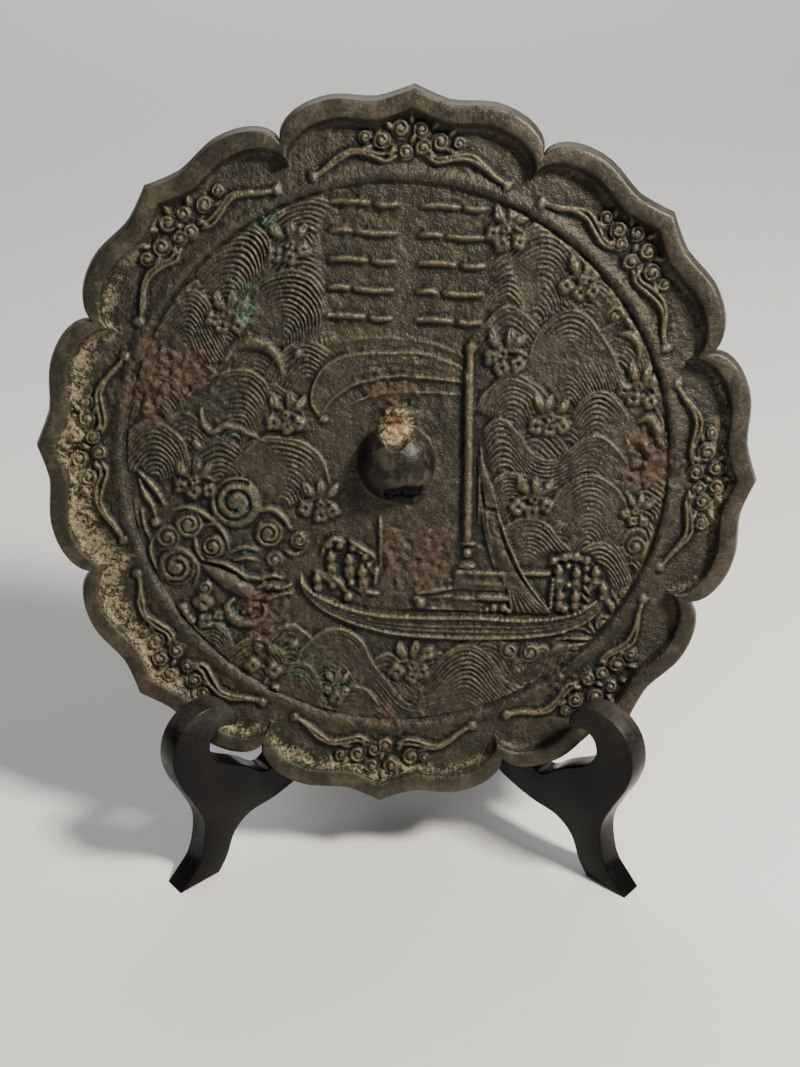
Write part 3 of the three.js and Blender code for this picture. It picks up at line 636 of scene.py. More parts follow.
# %% The rig
SAIL = [(-18.2, 9.3), (-20.6, 12.4), (-20.8, 16), (-18.9, 20.6), (-15, 23.6), (-9.8, 25), (-3.7, 25.5),
    (2.3, 25.9), (7, 25.2), (14.6, 22.8), (14.6, 19.7), (7, 20.1), (0, 20.2), (-6.2, 19.2), (-11.6, 17.2),
    (-15.4, 14.4), (-17.2, 11.8)]
cast.plate(curve(SAIL + SAIL[:1]), 0.35)
strokes(
    ([(-18.2, 9.6), (-20.5, 13), (-20.3, 17), (-18, 21.4), (-14, 24.2), (-8.8, 25.3), (-3, 25.7), (3, 26),
        (8, 25.2), (14.6, 23)], 1.1, 0.6),
    ([(-18, 9.6), (-16.6, 13), (-12.4, 16.9), (-7, 19.1), (0, 20.3), (14.8, 19.8)], 1.1, 0.65),
    ([(-13, 12.4), (-8, 15), (-2, 16.3), (5, 16.9), (14.8, 16.8)], 1.0, 0.55),
    ([(-19, 26.2), (-12, 28.2), (-4, 29.1), (2, 28.9)], 0.9, 0.35),
    ([(2, 28.8), (8, 28), (14.6, 25.6)], 0.9, 0.35),
    ([(-17.6, 17), (-12, 21.6), (-4, 23.4), (6, 23.2), (14.4, 21.4)], 0.8, 0.2),
    ([(-17.6, 13.6), (-13, 19), (-6, 21.4), (4, 21.8)], 0.8, 0.18),
    ([(-18.6, 9), (-16.6, 9.4)], 1.7, 0.9),
)
cast.stroke([(15.9, 27.6), (16.2, 18), (16.7, 8), (17.2, -2)], [2.8, 3.0, 3.0], 1.6, ends=0.8)
cast.stroke([(17.1, -1), (17.5, -9), (17.9, -17.4)], [2.9, 3.0], 1.5, ends=0.85)
strokes(([(19.5, 2.6), (20, -5), (20.4, -14)], 0.9, 0.7), ([(16.6, -18.6), (19.8, -18.8)], 1.4, 1.1),
        ([(16.4, -24.2), (20.2, -24.4)], 2.2, 1.0))
cast.dome(15.9, 27.6, 1.5, 1.6)
cast.plate(curve([(19.7, 5), (20.2, -2), (21.4, -8), (22.6, -9.6), (24.5, -9), (22.8, -4), (20.8, 1),
    (19.7, 5)]), 0.8)
cast.plate(curve([(21.8, -10.8), (22.7, -16), (25.2, -23.5), (28.4, -30.4), (30, -34.6), (39, -35),
    (33.8, -29.4), (29.6, -24), (26.2, -17), (24.7, -11), (21.8, -10.8)]), 0.55)
cast.stroke([(23.3, -11.6), (24.6, -17), (27.2, -22.8), (30, -27.2)], [1.8, 2.6, 3.2], [0.45, 0.5, 0.3])
strokes(
    ([(20.2, -6), (21.4, -12), (23, -18.6), (25.2, -25)], 1.1, 0.8),
    ([(21.6, -8), (22.4, -14), (24, -19)], 0.8, 0.6),
    ([(24.2, -9), (26.6, -15.6), (29.6, -21.8), (33, -27.6), (39.2, -34.8)], 0.9, 1.3),
)
for i in range(7):
    part = i / 6
    fold = [(27.8 + 2.6 * part, -27 + 0.4 * part), (28.9 + 5 * part, -31),
        (29.8 + 9.2 * part, -35.2 + 0.4 * part)]
    cast.stroke(fold, [0.5, 0.7, 0.9], [0.2, 0.6, 0.7])

# %% [markdown]
# ## Sprays and panels
# Flower sprays float on the waves. Two panels hold rows of shallow strokes, which aren't letters.

# %% Sprays and panels
SPRAYS = [(-27, 49.4, 1.0, 4), (-40.6, 32.8, 1.0, -6), (-26.4, 10.2, 1.0, 0), (-47.6, -6.4, 1.0, 8),
    (-18, -10.4, 1.0, 0), (23, 55.2, 1.02, -4), (40.6, 44.6, 1.0, -12), (24.2, 27.2, 1.05, 0),
    (35, 12.6, 1.0, 0), (56, 20.8, 1.0, -14), (32.8, -6.8, 1.05, 0), (57.6, -8.6, 0.75, -6),
    (6, -49.2, 1.05, -4), (-12, -55.6, 0.7, 6)]
for i, (x, y, size, turn) in enumerate(SPRAYS):
    cast.spray(x, y, size, turn, i % 2)
for x, y, size in ((-45, -36.6, 2.7), (-50.4, -38.9, 2.2), (-47.6, -43.8, 1.5), (-41.4, -39.6, 1.6),
        (-44.4, -41.2, 2.2), (-48.2, -41.2, 1.5), (-32.7, -51.8, 2.2), (-27.5, -52.8, 2.4),
        (-27, -57.5, 1.3), (-11.7, -59, 2.4), (9.8, -46.4, 2.0)):
    cast.blossom(x, y, size, 1.2)
cast.curl(29.6, -44.8, 2.4, 1.2, start=20, turns=1.2)
cast.curl(34.8, -45, 2.6, 1.1, start=60, turns=1.4)
cast.curl(32.1, -49.7, 1.7, 1.0)

for left, right in ((-17.5, -3), (3, 17.5)):
    for row in range(5):
        y = 33.6 + row * 6.4
        split = left + (right - left) * (0.36 if row % 2 else 0.62)
        strokes(([(left, y), ((left + split) / 2, y + 0.25), (split - 0.9, y)], 1.75, 1.15),
                ([(split + 0.9, y), ((split + right) / 2, y - 0.25), (right, y)], 1.75, 1.15), ends=0.75)
field = cast.height
print("field painted")

# %% [markdown]
# ## The border scrolls
# Each lobe holds a cluster of curls and leaves with a doubled tendril on both sides. Places are
# given along the lobe and outwards from a ring, and every other lobe is mirrored.

# %% The border scrolls
cast = Casting()
SCROLL_RING, SCROLL_MIDDLE = 70, 72.0


def lobe_point(tip, along, out):
    """A point given along a lobe from its tip, and out from the ring."""
    angle = math.radians(tip) - along / SCROLL_MIDDLE
    return ((SCROLL_RING + out) * math.cos(angle), (SCROLL_RING + out) * math.sin(angle))


CURL_PLACES = [(-10.4, 4.2, 1.6), (-6.6, 3.2, 2.2), (-2.6, 5.4, 2.2), (1.9, 5.9, 2.1), (-1.2, 0.8, 2.0),
    (2.4, 2.0, 1.9), (6.0, 3.4, 2.3), (10.2, 4.0, 1.8)]
LEAVES = [((-9, 2.2), (-11.6, 1.6)), ((-4.6, 5.8), (-5.8, 7.6)), ((-0.2, 7.4), (-0.4, 9.4)),
    ((4.4, 6.6), (5.6, 8)), ((8.2, 5.4), (9.2, 6.8)), ((-4.2, 1.6), (-5, -0.4)), ((4.6, 1), (5, -0.6)),
    ((8.2, 2), (10.8, 1.6)), ((-0.2, 3), (0.4, 4.4))]
TENDRIL = [(3.6, 0.6), (6.2, -0.5), (9.6, 0.5), (13.2, 1.5), (16.6, 0.6), (19.8, -0.9), (23.0, -1.9)]
for lobe in range(LOBES):
    tip = 90 + 45 * lobe
    flip = 1 if lobe % 2 == 0 else -1
    for along, out, size in CURL_PLACES:
        shift, lift = 0.35 * random.standard_normal(2)
        x, y = lobe_point(tip, flip * along + shift, out + lift * 0.6)
        cast.curl(x, y, size * (0.94 + 0.14 * random.random()), 1.25, start=random.uniform(0, 360),
            turns=1.25, hand=random.choice((-1, 1)))
    for start, end in LEAVES:
        leaf = [lobe_point(tip, flip * start[0], start[1]), lobe_point(tip, flip * end[0], end[1])]
        cast.stroke(leaf, [1.9, 1.2], 1.15, ends=0.7)
    for side in (-1, 1):
        for offset in (-0.62, 0.62):
            tendril = []
            for i, (along, out) in enumerate(TENDRIL):
                apart = offset * (1 - 0.75 * (i / 6) ** 2)
                tendril.append(lobe_point(tip, side * along, out + apart + 0.15 * random.standard_normal()))
            cast.stroke(tendril, 1.35, 1.15, ends=0.7)
        bud = lobe_point(tip, side * 23.6, -1.9)
        cast.dome(*bud, 1.35, 1.15)
        cast.stroke([bud, lobe_point(tip, side * 24.6, -0.6)], 1.1, 0.8)
border = cast.height
print("border painted")

# %% [markdown]
# ## Wear and patina
# Soft rasters say where the bronze is worn, hollow, red, green or earthy. They later become
# attributes of the mesh.

# %% Wear and patina
GX, GY = AXIS[None, :], AXIS[:, None]
SPAN = np.hypot(GX, GY)
BEARING = np.degrees(np.arctan2(GY, GX))
EDGE = outline_radius(BEARING)
grain, ripple, drift = cloud(0.9), cloud(3.0), cloud(11.0)


def patches(*spots):
    """Soft patches (x, y, radius, strength) with ragged edges."""
    total = np.zeros((STEPS, STEPS), np.float32)
    for x0, y0, radius, strength in spots:
        total += strength * np.exp(-((GX - x0) ** 2 + (GY - y0) ** 2) / (radius * radius))
    return total * np.clip(0.95 + 0.25 * ripple, 0, 1.5)


red = patches((-55, 19, 8, 1.0), (-58, 12, 7, 0.9), (-46, 21, 5, 0.6), (-28, -31, 5, 0.6),
    (-31, -43, 6, 0.8), (-33, -36, 4, 0.6), (3, -22.5, 7, 1.3), (10, -24, 6, 1.1), (-3, -30, 5, 0.5),
    (60, 7, 6, 1.0), (62, -2, 6, 0.8), (56, 2, 5, 0.5), (50, 44, 6, 0.5), (44, -44, 5, 0.6),
    (41, -52, 6, 0.6), (0, -63, 6, 0.9), (2, -72, 6, 0.5), (-13, 56, 6, 0.5), (-0.5, 16, 6, 1.3),
    (-17, 36, 3, 0.4))
green = patches((-37, 33, 3.5, 1.2), (-38, 39, 3.5, 0.8), (-33, 55, 5, 0.8), (-38, -12, 6, 0.6),
    (-40, -41, 5, 0.8), (-21, -50, 6, 0.7), (-44, 12, 4, 0.3), (-38, 5, 3, 0.5), (64, -18, 4, 0.3),
    (-12, -56, 5, 0.5), (-60, 60, 5, 0.4), (30, 12, 3, 0.3), (-34, -24, 4, 0.4), (51, -36, 4, 0.3))
field_share = smooth(STEP_INNER + 0.1, STEP_INNER - 0.9, SPAN)
border_share = smooth(STEP_OUTER - 2.4, STEP_OUTER - 1.6, SPAN) * smooth(EDGE - RIM_FOOT + 0.6,
    EDGE - RIM_FOOT - 0.4, SPAN)
relief = box_blur(field, 0.12, 2) * field_share + box_blur(border, 0.12, 2) * border_share
relief += (0.06 * grain + 0.06 * ripple) * smooth(EDGE - RIM_FOOT + 1, EDGE - RIM_FOOT - 1, SPAN)
relief += 0.16 * np.clip(red, 0, 1) * grain + 0.1 * np.clip(green, 0, 1) * grain
local = box_blur(relief, 1.0, 2)
wear = np.clip((relief - local) * 2.2, 0, 1)
hollow = np.clip((local - relief) * 2.2, 0, 1)
print("patina painted")


def oval(x, y, x0, y0, half_wide, half_tall, top=1.0):
    """top in the middle of an oval, and falling outwards."""
    return top - ((x - x0) / half_wide) ** 2 - ((y - y0) / half_tall) ** 2


def knob_height(x, y):
    """The cast knob, with the mouth of its cord hole broken open above and filled with earth."""
    span = np.hypot(x, y)
    rise = KNOB_TOP - FIELD_FLOOR
    ball = rise * np.clip(1 - (span / KNOB_RADIUS) ** 2.4, 0, 1) ** 0.52
    ragged, rough = 0.22 * sample(ripple, x * 1.7, y * 1.7), sample(grain, x, y)
    mouth = oval(x, y, -0.3, 8.2, 4.3, 4.2) + ragged
    fill = 3.3 + 0.22 * rough + 0.5 * ragged - 0.16 * (y - 6)
    ball = np.where(mouth > 0, np.minimum(ball, np.maximum(fill, ball - 6 * mouth)), ball)
    lip = np.clip(oval(x, y, -0.8, 12.5, 6.4, 6.0), 0, 1)
    ball = np.maximum(ball, (1.5 + 0.3 * rough) * lip)
    pit = oval(x, y, 2.4, -7.0, 4.6, 2.9) + 0.8 * ragged
    return np.where(pit > 0, np.maximum(ball - 5.5 * np.clip(pit, 0, 1) ** 0.6, 0.4 + 0.2 * rough), ball)


# %% [markdown]
# ## The mirror's mesh
# A square grid is bent into rings, as fine at the walls as the relief needs. The outer rings
# follow the lobes. Heights come from the rasters and from the rim's profile.

# %% The mirror's mesh
LOBED_START = STEP_OUTER + 0.6
FLAT_END = TIP_RADIUS - RIM_FOOT - 0.3


def ring_stations():
    """How far out each ring lies: (share of the circle, share of the way from the step to the edge)."""
    def spaced(start, end, gap):
        return list(np.linspace(start, end, max(int(round((end - start) / gap)), 1), endpoint=False))

    rim_inside, rim_outside = TIP_RADIUS - RIM_INNER + 0.4, TIP_RADIUS - RIM_FLARE
    circles = (spaced(0, STEP_INNER - 0.4, 0.25) + spaced(STEP_INNER - 0.4, STEP_INNER + 1.0,
        0.14) + spaced(STEP_INNER + 1.0, STEP_OUTER - 1.0, 0.4) + spaced(STEP_OUTER - 1.0, LOBED_START,
        0.16))
    lobed = (spaced(LOBED_START, FLAT_END, 0.24) + spaced(FLAT_END, rim_inside, 0.14)
             + spaced(rim_inside, rim_outside - 0.8, 0.34) + spaced(rim_outside - 0.8, rim_outside, 0.11))
    return np.array(circles), np.array(lobed + [rim_outside])


def ring_profile(inset):
    """Height of the rim at a distance in from the lobed edge, arrises worn round."""
    place = np.array([-RIM_FOOT - 0.8, -RIM_FOOT - 0.15, -RIM_FOOT + 0.3, -RIM_INNER - 0.25,
        -RIM_INNER + 0.15, -RIM_INNER + 0.7, -RIM_FLARE - 1.0, -RIM_FLARE - 0.35, -RIM_FLARE - 0.1,
        -RIM_FLARE])
    rise = np.array([0, 0.15, 0.75, 2.5, 2.88, 3.0, 3.0, 2.9, 2.72, 2.5])
    return BORDER_FLOOR + np.interp(inset, place, rise)


def sample(raster, x, y):
    """Reads a raster between its points."""
    u = np.clip((x + REACH) / PITCH, 0, STEPS - 1.001)
    v = np.clip((y + REACH) / PITCH, 0, STEPS - 1.001)
    i, j = u.astype(int), v.astype(int)
    across, up = u - i, v - j
    return ((raster[j, i] * (1 - across) + raster[j, i + 1] * across) * (1 - up)
            + (raster[j + 1, i] * (1 - across) + raster[j + 1, i + 1] * across) * up)


def new_piece(name, mesh_tool):
    """A bmesh becomes an object of the scene, with smooth shading."""
    mesh = bpy.data.meshes.new(name)
    mesh_tool.to_mesh(mesh)
    mesh_tool.free()
    mesh.shade_smooth()
    piece = bpy.data.objects.new(name, mesh)
    bpy.context.scene.collection.objects.link(piece)
    return piece


def finished(piece, kind, **settings):
    """Adds one modifier and makes its result the mesh."""
    modifier = piece.modifiers.new(kind.title(), kind)
    for key, value in settings.items():
        setattr(modifier, key, value)
    done = bpy.data.meshes.new_from_object(piece.evaluated_get(bpy.context.evaluated_depsgraph_get()))
    piece.modifiers.clear()
    piece.data = done
    return piece


circles, lobed = ring_stations()
rings = len(circles) + len(lobed) - 1
tool = bmesh.new()
bmesh.ops.create_grid(tool, x_segments=2 * rings, y_segments=2 * rings, size=1.0)
square = np.array([v.co[:2] for v in tool.verts])
u, v = square[:, 0], square[:, 1]
ring = np.round(np.maximum(np.abs(u), np.abs(v)) * rings).astype(int)
across = np.abs(u) > np.abs(v)
with np.errstate(divide="ignore", invalid="ignore"):
    eighth = np.where(across, v / u, u / v)
eighth = np.nan_to_num(eighth) * math.pi / 4
theta = np.where(across, eighth + np.where(u < 0, math.pi, 0),
    math.pi / 2 - eighth + np.where(v < 0, math.pi, 0))
edge = outline_radius(np.degrees(theta))
stations = np.concatenate([circles, lobed])
reach = stations[ring]
inset = reach - TIP_RADIUS
stretched = (LOBED_START
             + (reach - LOBED_START) * (edge - RIM_FOOT - 0.3 - LOBED_START) / (FLAT_END - LOBED_START))
lobed_radius = np.where(reach < FLAT_END, stretched, edge + inset)
radius = np.where(reach <= LOBED_START, reach, lobed_radius)
x, y = radius * np.cos(theta), radius * np.sin(theta)
step = np.interp(radius, [STEP_INNER, STEP_INNER + 0.35, STEP_INNER + 0.9, STEP_INNER + 1.8,
    STEP_OUTER - 1.0, STEP_OUTER], [0, 0.8, 1.2, 1.35, 0.95, 0.5])
step -= 0.25 * smooth(0.2, 1.8, sample(drift, x, y)) * smooth(STEP_INNER, STEP_INNER + 1,
    radius) * smooth(STEP_OUTER, STEP_OUTER - 1, radius)
z = np.where(radius < STEP_OUTER, FIELD_FLOOR + step, BORDER_FLOOR)
z = np.where(reach > FLAT_END - 1, ring_profile(radius - edge), z)
z = z + sample(relief, x, y)
z = np.where(radius < KNOB_RADIUS + 4, np.maximum(z, FIELD_FLOOR + knob_height(x, y)), z)
z = np.minimum(z, np.where(reach > FLAT_END, RIM_THICKNESS, 99))
positions = np.stack([x, y, z], 1)
for vertex, place in zip(tool.verts, positions):
    vertex.co = place

# the outer wall and the reflecting side, ring by ring: share of the edge's radius, offset, height
SHELL = [(1, -1.25, 3.9), (1, -0.74, 2.2), (1, -0.34, 0.9), (1, -0.14, 0.25), (1, -0.03, 0.0),
    (0.985, 0, 0), (0.96, 0, -0.05), (0.85, 0, -0.14), (0.7, 0, -0.25), (0.5, 0, -0.37), (0.3, 0, -0.45),
    (0.12, 0, -0.49)]
boundary = [e for e in tool.edges if e.is_boundary]
for share, offset, height in SHELL:
    made = bmesh.ops.extrude_edge_only(tool, edges=boundary)["geom"]
    boundary = [g for g in made if isinstance(g, bmesh.types.BMEdge)]
    for vertex in {w for e in boundary for w in e.verts}:
        turn = math.atan2(vertex.co.y, vertex.co.x)
        out = float(outline_radius(math.degrees(turn))) * share + offset
        vertex.co = (out * math.cos(turn), out * math.sin(turn), height)
bmesh.ops.holes_fill(tool, edges=boundary)
bmesh.ops.recalc_face_normals(tool, faces=tool.faces)
bmesh.ops.triangulate(tool, faces=tool.faces)
count = len(tool.faces)
mirror = new_piece("mirror_casting", tool)
finished(mirror, "DECIMATE", ratio=MIRROR_TRIANGLES / count)
print("mirror", count, "triangles, kept", len(mirror.data.polygons))

local_points = np.empty(len(mirror.data.vertices) * 3, np.float32)
mirror.data.vertices.foreach_get("co", local_points)
local_points = local_points.reshape(-1, 3)
px, py, pz = local_points.T
allowed = outline_radius(np.degrees(np.arctan2(py, px))) - 0.03
tight = np.minimum(1, allowed / np.maximum(np.hypot(px, py), 1))
px *= tight
py *= tight
pz.clip(-FACE_DOME, KNOB_TOP - 0.02, out=pz)
mirror.data.vertices.foreach_set("co", local_points.ravel())
front = (pz > 1.2) | ((pz > 0.15) & (np.hypot(px, py) > 77))
span = np.hypot(px, py)
bearing = np.degrees(np.arctan2(py, px))
inset = span - outline_radius(bearing)
on_rim = smooth(-RIM_FOOT + 0.2, -RIM_INNER, inset) * front
on_knob = (span < KNOB_RADIUS - 0.4) & front
mouth = np.clip(oval(px, py, -0.3, 8.8, 4.4, 4.6, 1.3), 0, 1) * front
# the broken lower mouth of the cord hole; its dark colour, given through the hollow layer, is painted shade
pit = np.clip(oval(px, py, 2.4, -7.0, 4.6, 2.9, 1.3), 0, 1) * front


def facing(middle, spread):
    """1 towards a bearing and less on both sides of it."""
    return np.exp(-(((bearing - middle + 180) % 360 - 180) / spread) ** 2)


earth_turn = np.clip(facing(195, 48) + 0.5 * facing(262, 32) + 0.5 * facing(2, 26), 0, 1)
at_foot = smooth(-RIM_FOOT - 5.0 - 5 * facing(192, 32), -RIM_FOOT - 0.4, inset)
at_foot = at_foot * smooth(-RIM_INNER + 0.3, -RIM_FOOT + 0.3, inset)
layers = {
    "wear": sample(wear, px, py) * front * (1 - on_rim) * (1 - on_knob),
    # patina in the relief's hollows, plus painted shade in the pit under the knob (2 * pit)
    "hollow": np.maximum(sample(hollow, px, py) * (1 - on_rim), 2 * pit) * front,
    "red": sample(red, px, py) * front,
    "green": sample(green, px, py) * front,
    "earth": np.clip(at_foot * (0.2 + 0.8 * earth_turn) + 1.4 * mouth, 0, 1.5) * front,
    "decorated": front.astype(np.float32),
    "rim": smooth(-RIM_INNER - 0.3, -RIM_INNER + 0.3, inset) * (pz > 0.3),
    "knob": smooth(KNOB_RADIUS + 0.3, KNOB_RADIUS - 0.5, span) * front * (1 - np.clip(3 * mouth + 3 * pit,
        0, 1)),
    # painted shade: the knob grows darker towards its lower left, the side turned away from the key light
    "knob_painted_shade": on_knob * smooth(-2, 8, -0.7 * px - 0.7 * py),
}
for name, values in layers.items():
    layer = mirror.data.attributes.new(name, "FLOAT", "POINT")
    layer.data.foreach_set("value", np.clip(values, 0, 2).astype(np.float32))
mirror.data.transform(Matrix.Scale(MM, 4) @ mirror_place())
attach(mirror, "root")
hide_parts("mirror")

# %% [markdown]
# ## The stand's boards
# Two sawn boards cross behind the mirror. Each keeps the outline of its CAD node, with its
# edges rounded and its lap cut open.

# %% The stand's boards
BOARD, GAP, LAP_HEIGHT = 6.0, 0.3, 50.0
BOARD_ANGLE, TOE_SPREAD, TOE_FRONT = 42.0, 55.0, -17.4
ARRIS = 0.9
UNDERSIDE = [(14.8, 4), (17.6, 10.2), (22.5, 13.6), (30, 14.4), (38, 16.6), (48, 21), (61, 24.6),
    (75, 24.4), (86, 20.6), (94, 13.6), (98.4, 6), (101, 0)]
REAR = [(109.2, 5.4), (106.2, 12), (105, 19), (101, 28), (92.5, 39), (84, 51), (78.6, 65), (75.4, 80),
        (73.6, 94), (73, 102), (72.6, 106.4), (70.8, 108.6), (68.4, 107.6)]
SEAT = [(31.2, 25.8), (28.5, 23.8), (26, 25), (23.5, 27.4), (21, 29.3), (16.8, 32), (13.9, 34.6),
    (12.4, 38), (13.3, 41.5), (16, 43.1), (19, 42.2)]
HOOK = [(20.7, 42.6), (20.8, 44.7), (18.8, 47.6), (14.8, 49.8), (10, 49.7), (6, 47.6), (3.2, 43.8),
    (2.1, 38.2), (3.4, 32), (6.6, 24.8), (8.9, 18.5), (8.8, 13), (6.9, 6.6), (3.4, 2.8), (0.5, 0)]


def board_outline():
    parts = [curve([(12, 0)] + UNDERSIDE, 1.2)[:-1], curve([(101, 0), (112.5, 0)], 20)[:-1],
             curve([(112.5, 0)] + REAR, 1.2), curve([(33.2, 31.4)] + SEAT, 1.0), curve(HOOK, 1.0)]
    return np.vstack(parts)


def board_place(side):
    """Along the board from its front toe, up, and through its thickness, to the frame."""
    turn = math.radians(BOARD_ANGLE)
    along = Vector((-side * math.cos(turn), math.sin(turn), 0))
    through = Vector((side * math.sin(turn), math.cos(turn), 0))
    toe = Vector((side * TOE_SPREAD + SIDE_SHIFT, TOE_FRONT + DEPTH_SHIFT, 0))
    return Matrix((
        (along.x, 0, through.x, toe.x), (along.y, 0, through.y, toe.y), (0, 1, 0, 0), (0, 0, 0, 1)))


def board_blank(side, name):
    """The board's outline, sawn from a 6 mm plank with its edges rounded over."""
    tool = bmesh.new()
    corners = [tool.verts.new((s, up, 0)) for s, up in board_outline()]
    face = tool.faces.new(corners)
    made = bmesh.ops.extrude_face_region(tool, geom=[face])["geom"]
    bmesh.ops.translate(tool, verts=[g for g in made if isinstance(g, bmesh.types.BMVert)],
        vec=(0, 0, BOARD))
    bmesh.ops.recalc_face_normals(tool, faces=tool.faces)
    rims = [e for e in tool.edges if abs(e.verts[0].co.z - e.verts[1].co.z) < 0.01]
    bmesh.ops.bevel(tool, geom=rims, offset=ARRIS, offset_type="OFFSET", segments=3, profile=0.5,
                    affect="EDGES", clamp_overlap=True, material=-1, loop_slide=True)
    bmesh.ops.triangulate(tool, faces=[f for f in tool.faces if len(f.verts) > 4])
    bmesh.ops.transform(tool, verts=tool.verts, matrix=board_place(side))
    return new_piece(name, tool)


def lap_cut(side, low, high):
    """The room for the other board where the two are halved together."""
    tool = bmesh.new()
    bmesh.ops.create_cube(tool, size=1.0)
    shape = Matrix.Translation((0, (low + high) / 2, BOARD / 2)) @ Matrix.Diagonal((300, high - low,
        BOARD + 2 * GAP, 1))
    bmesh.ops.transform(tool, verts=tool.verts, matrix=board_place(side) @ shape)
    return new_piece("lap_cut", tool)


def mark_edges(board):
    """An attribute that is 1 on the rounded edges, most at the hooks, where the lacquer is duller and a
    grey sheen is painted on it.
    """
    mesh = board.data
    bend = np.zeros(len(mesh.vertices), np.float32)
    for face in mesh.polygons:
        for i in face.vertices:
            bend[i] = max(bend[i], 0.5 if face.area < 3 else 0.0)
    heights = np.array([v.co.z for v in mesh.vertices])
    bend *= 0.6 + 0.9 * smooth(38, 50, heights) * (heights < 56)
    mesh.attributes.new("edge", "FLOAT", "POINT").data.foreach_set("value", bend)


for name, side in (("stand_board_left", -1), ("stand_board_right", 1)):
    board = board_blank(side, name.replace("stand", "lacquered"))
    cutter = lap_cut(1, LAP_HEIGHT, 200) if side < 0 else lap_cut(-1, -50, LAP_HEIGHT + GAP)
    finished(board, "BOOLEAN", object=cutter, operation="DIFFERENCE", solver="EXACT")
    bpy.data.objects.remove(cutter)
    mark_edges(board)
    board.data.transform(Matrix.Scale(MM, 4))
    board.data.set_sharp_from_angle(angle=math.radians(40))
    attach(board, "root")
    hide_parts(name)
print("boards made")

# %% [markdown]
# ## Materials
# One small class writes shader maths as ordinary sums. Lengths in the patterns are millimetres.

# %% Materials
class Value:
    """The output of a shader node, so that + - * / and ** make the next nodes."""

    def __init__(self, tree, socket):
        self.tree, self.socket = tree, socket

    def node(self, kind, inputs, output=0, **settings):
        made = self.tree.nodes.new(kind)
        for key, value in settings.items():
            setattr(made, key, value)
        for key, value in inputs.items():
            if isinstance(value, Value):
                self.tree.links.new(value.socket, made.inputs[key])
            else:
                made.inputs[key].default_value = value
        return Value(self.tree, made.outputs[output])

    def sum(self, operation, other=0.0, third=0.0):
        return self.node("ShaderNodeMath", {0: self, 1: other, 2: third}, operation=operation)

    def __add__(self, other):
        return self.sum("ADD", other)

    def __sub__(self, other):
        return self.sum("SUBTRACT", other)

    def __mul__(self, other):
        return self.sum("MULTIPLY", other)

    def __pow__(self, other):
        return self.sum("POWER", other)

    def between(self, low, high):
        """0 below low, 1 above high and smooth between them."""
        return self.node("ShaderNodeMapRange", {"Value": self, "From Min": low, "From Max": high},
                         interpolation_type="SMOOTHSTEP")

    def blend(self, first, second):
        """A colour between two, by this value."""
        made = self.tree.nodes.new("ShaderNodeMix")
        made.data_type = "RGBA"
        for socket, value in zip((made.inputs[0], made.inputs[6], made.inputs[7]), (self, first, second)):
            if isinstance(value, Value):
                self.tree.links.new(value.socket, socket)
            else:
                socket.default_value = (*value, 1.0)
        return Value(self.tree, made.outputs[2])


class Finish:
    """A material around one Principled BSDF."""

    def __init__(self, name):
        self.material = bpy.data.materials.new(name)
        self.material.use_nodes = True
        self.tree = self.material.node_tree
        self.shader = self.tree.nodes["Principled BSDF"]
        place = self.tree.nodes.new("ShaderNodeTexCoord")
        self.place = Value(self.tree, place.outputs["Object"])

    def noise(self, size, detail=3.0, rough=0.55):
        """Clouds about size millimetres across."""
        return self.place.node("ShaderNodeTexNoise", {"Vector": self.place, "Scale": 1 / (size * MM),
                                                      "Detail": detail, "Roughness": rough})

    def layer(self, name):
        return self.place.node("ShaderNodeAttribute", {}, output="Fac", attribute_name=name)

    def bump(self, height, strength, distance):
        return self.place.node("ShaderNodeBump", {"Height": height, "Strength": strength,
            "Distance": distance * MM})

    def set(self, **inputs):
        for key, value in inputs.items():
            socket = self.shader.inputs[key.replace("_", " ")]
            if isinstance(value, Value):
                self.tree.links.new(value.socket, socket)
            else:
                socket.default_value = value


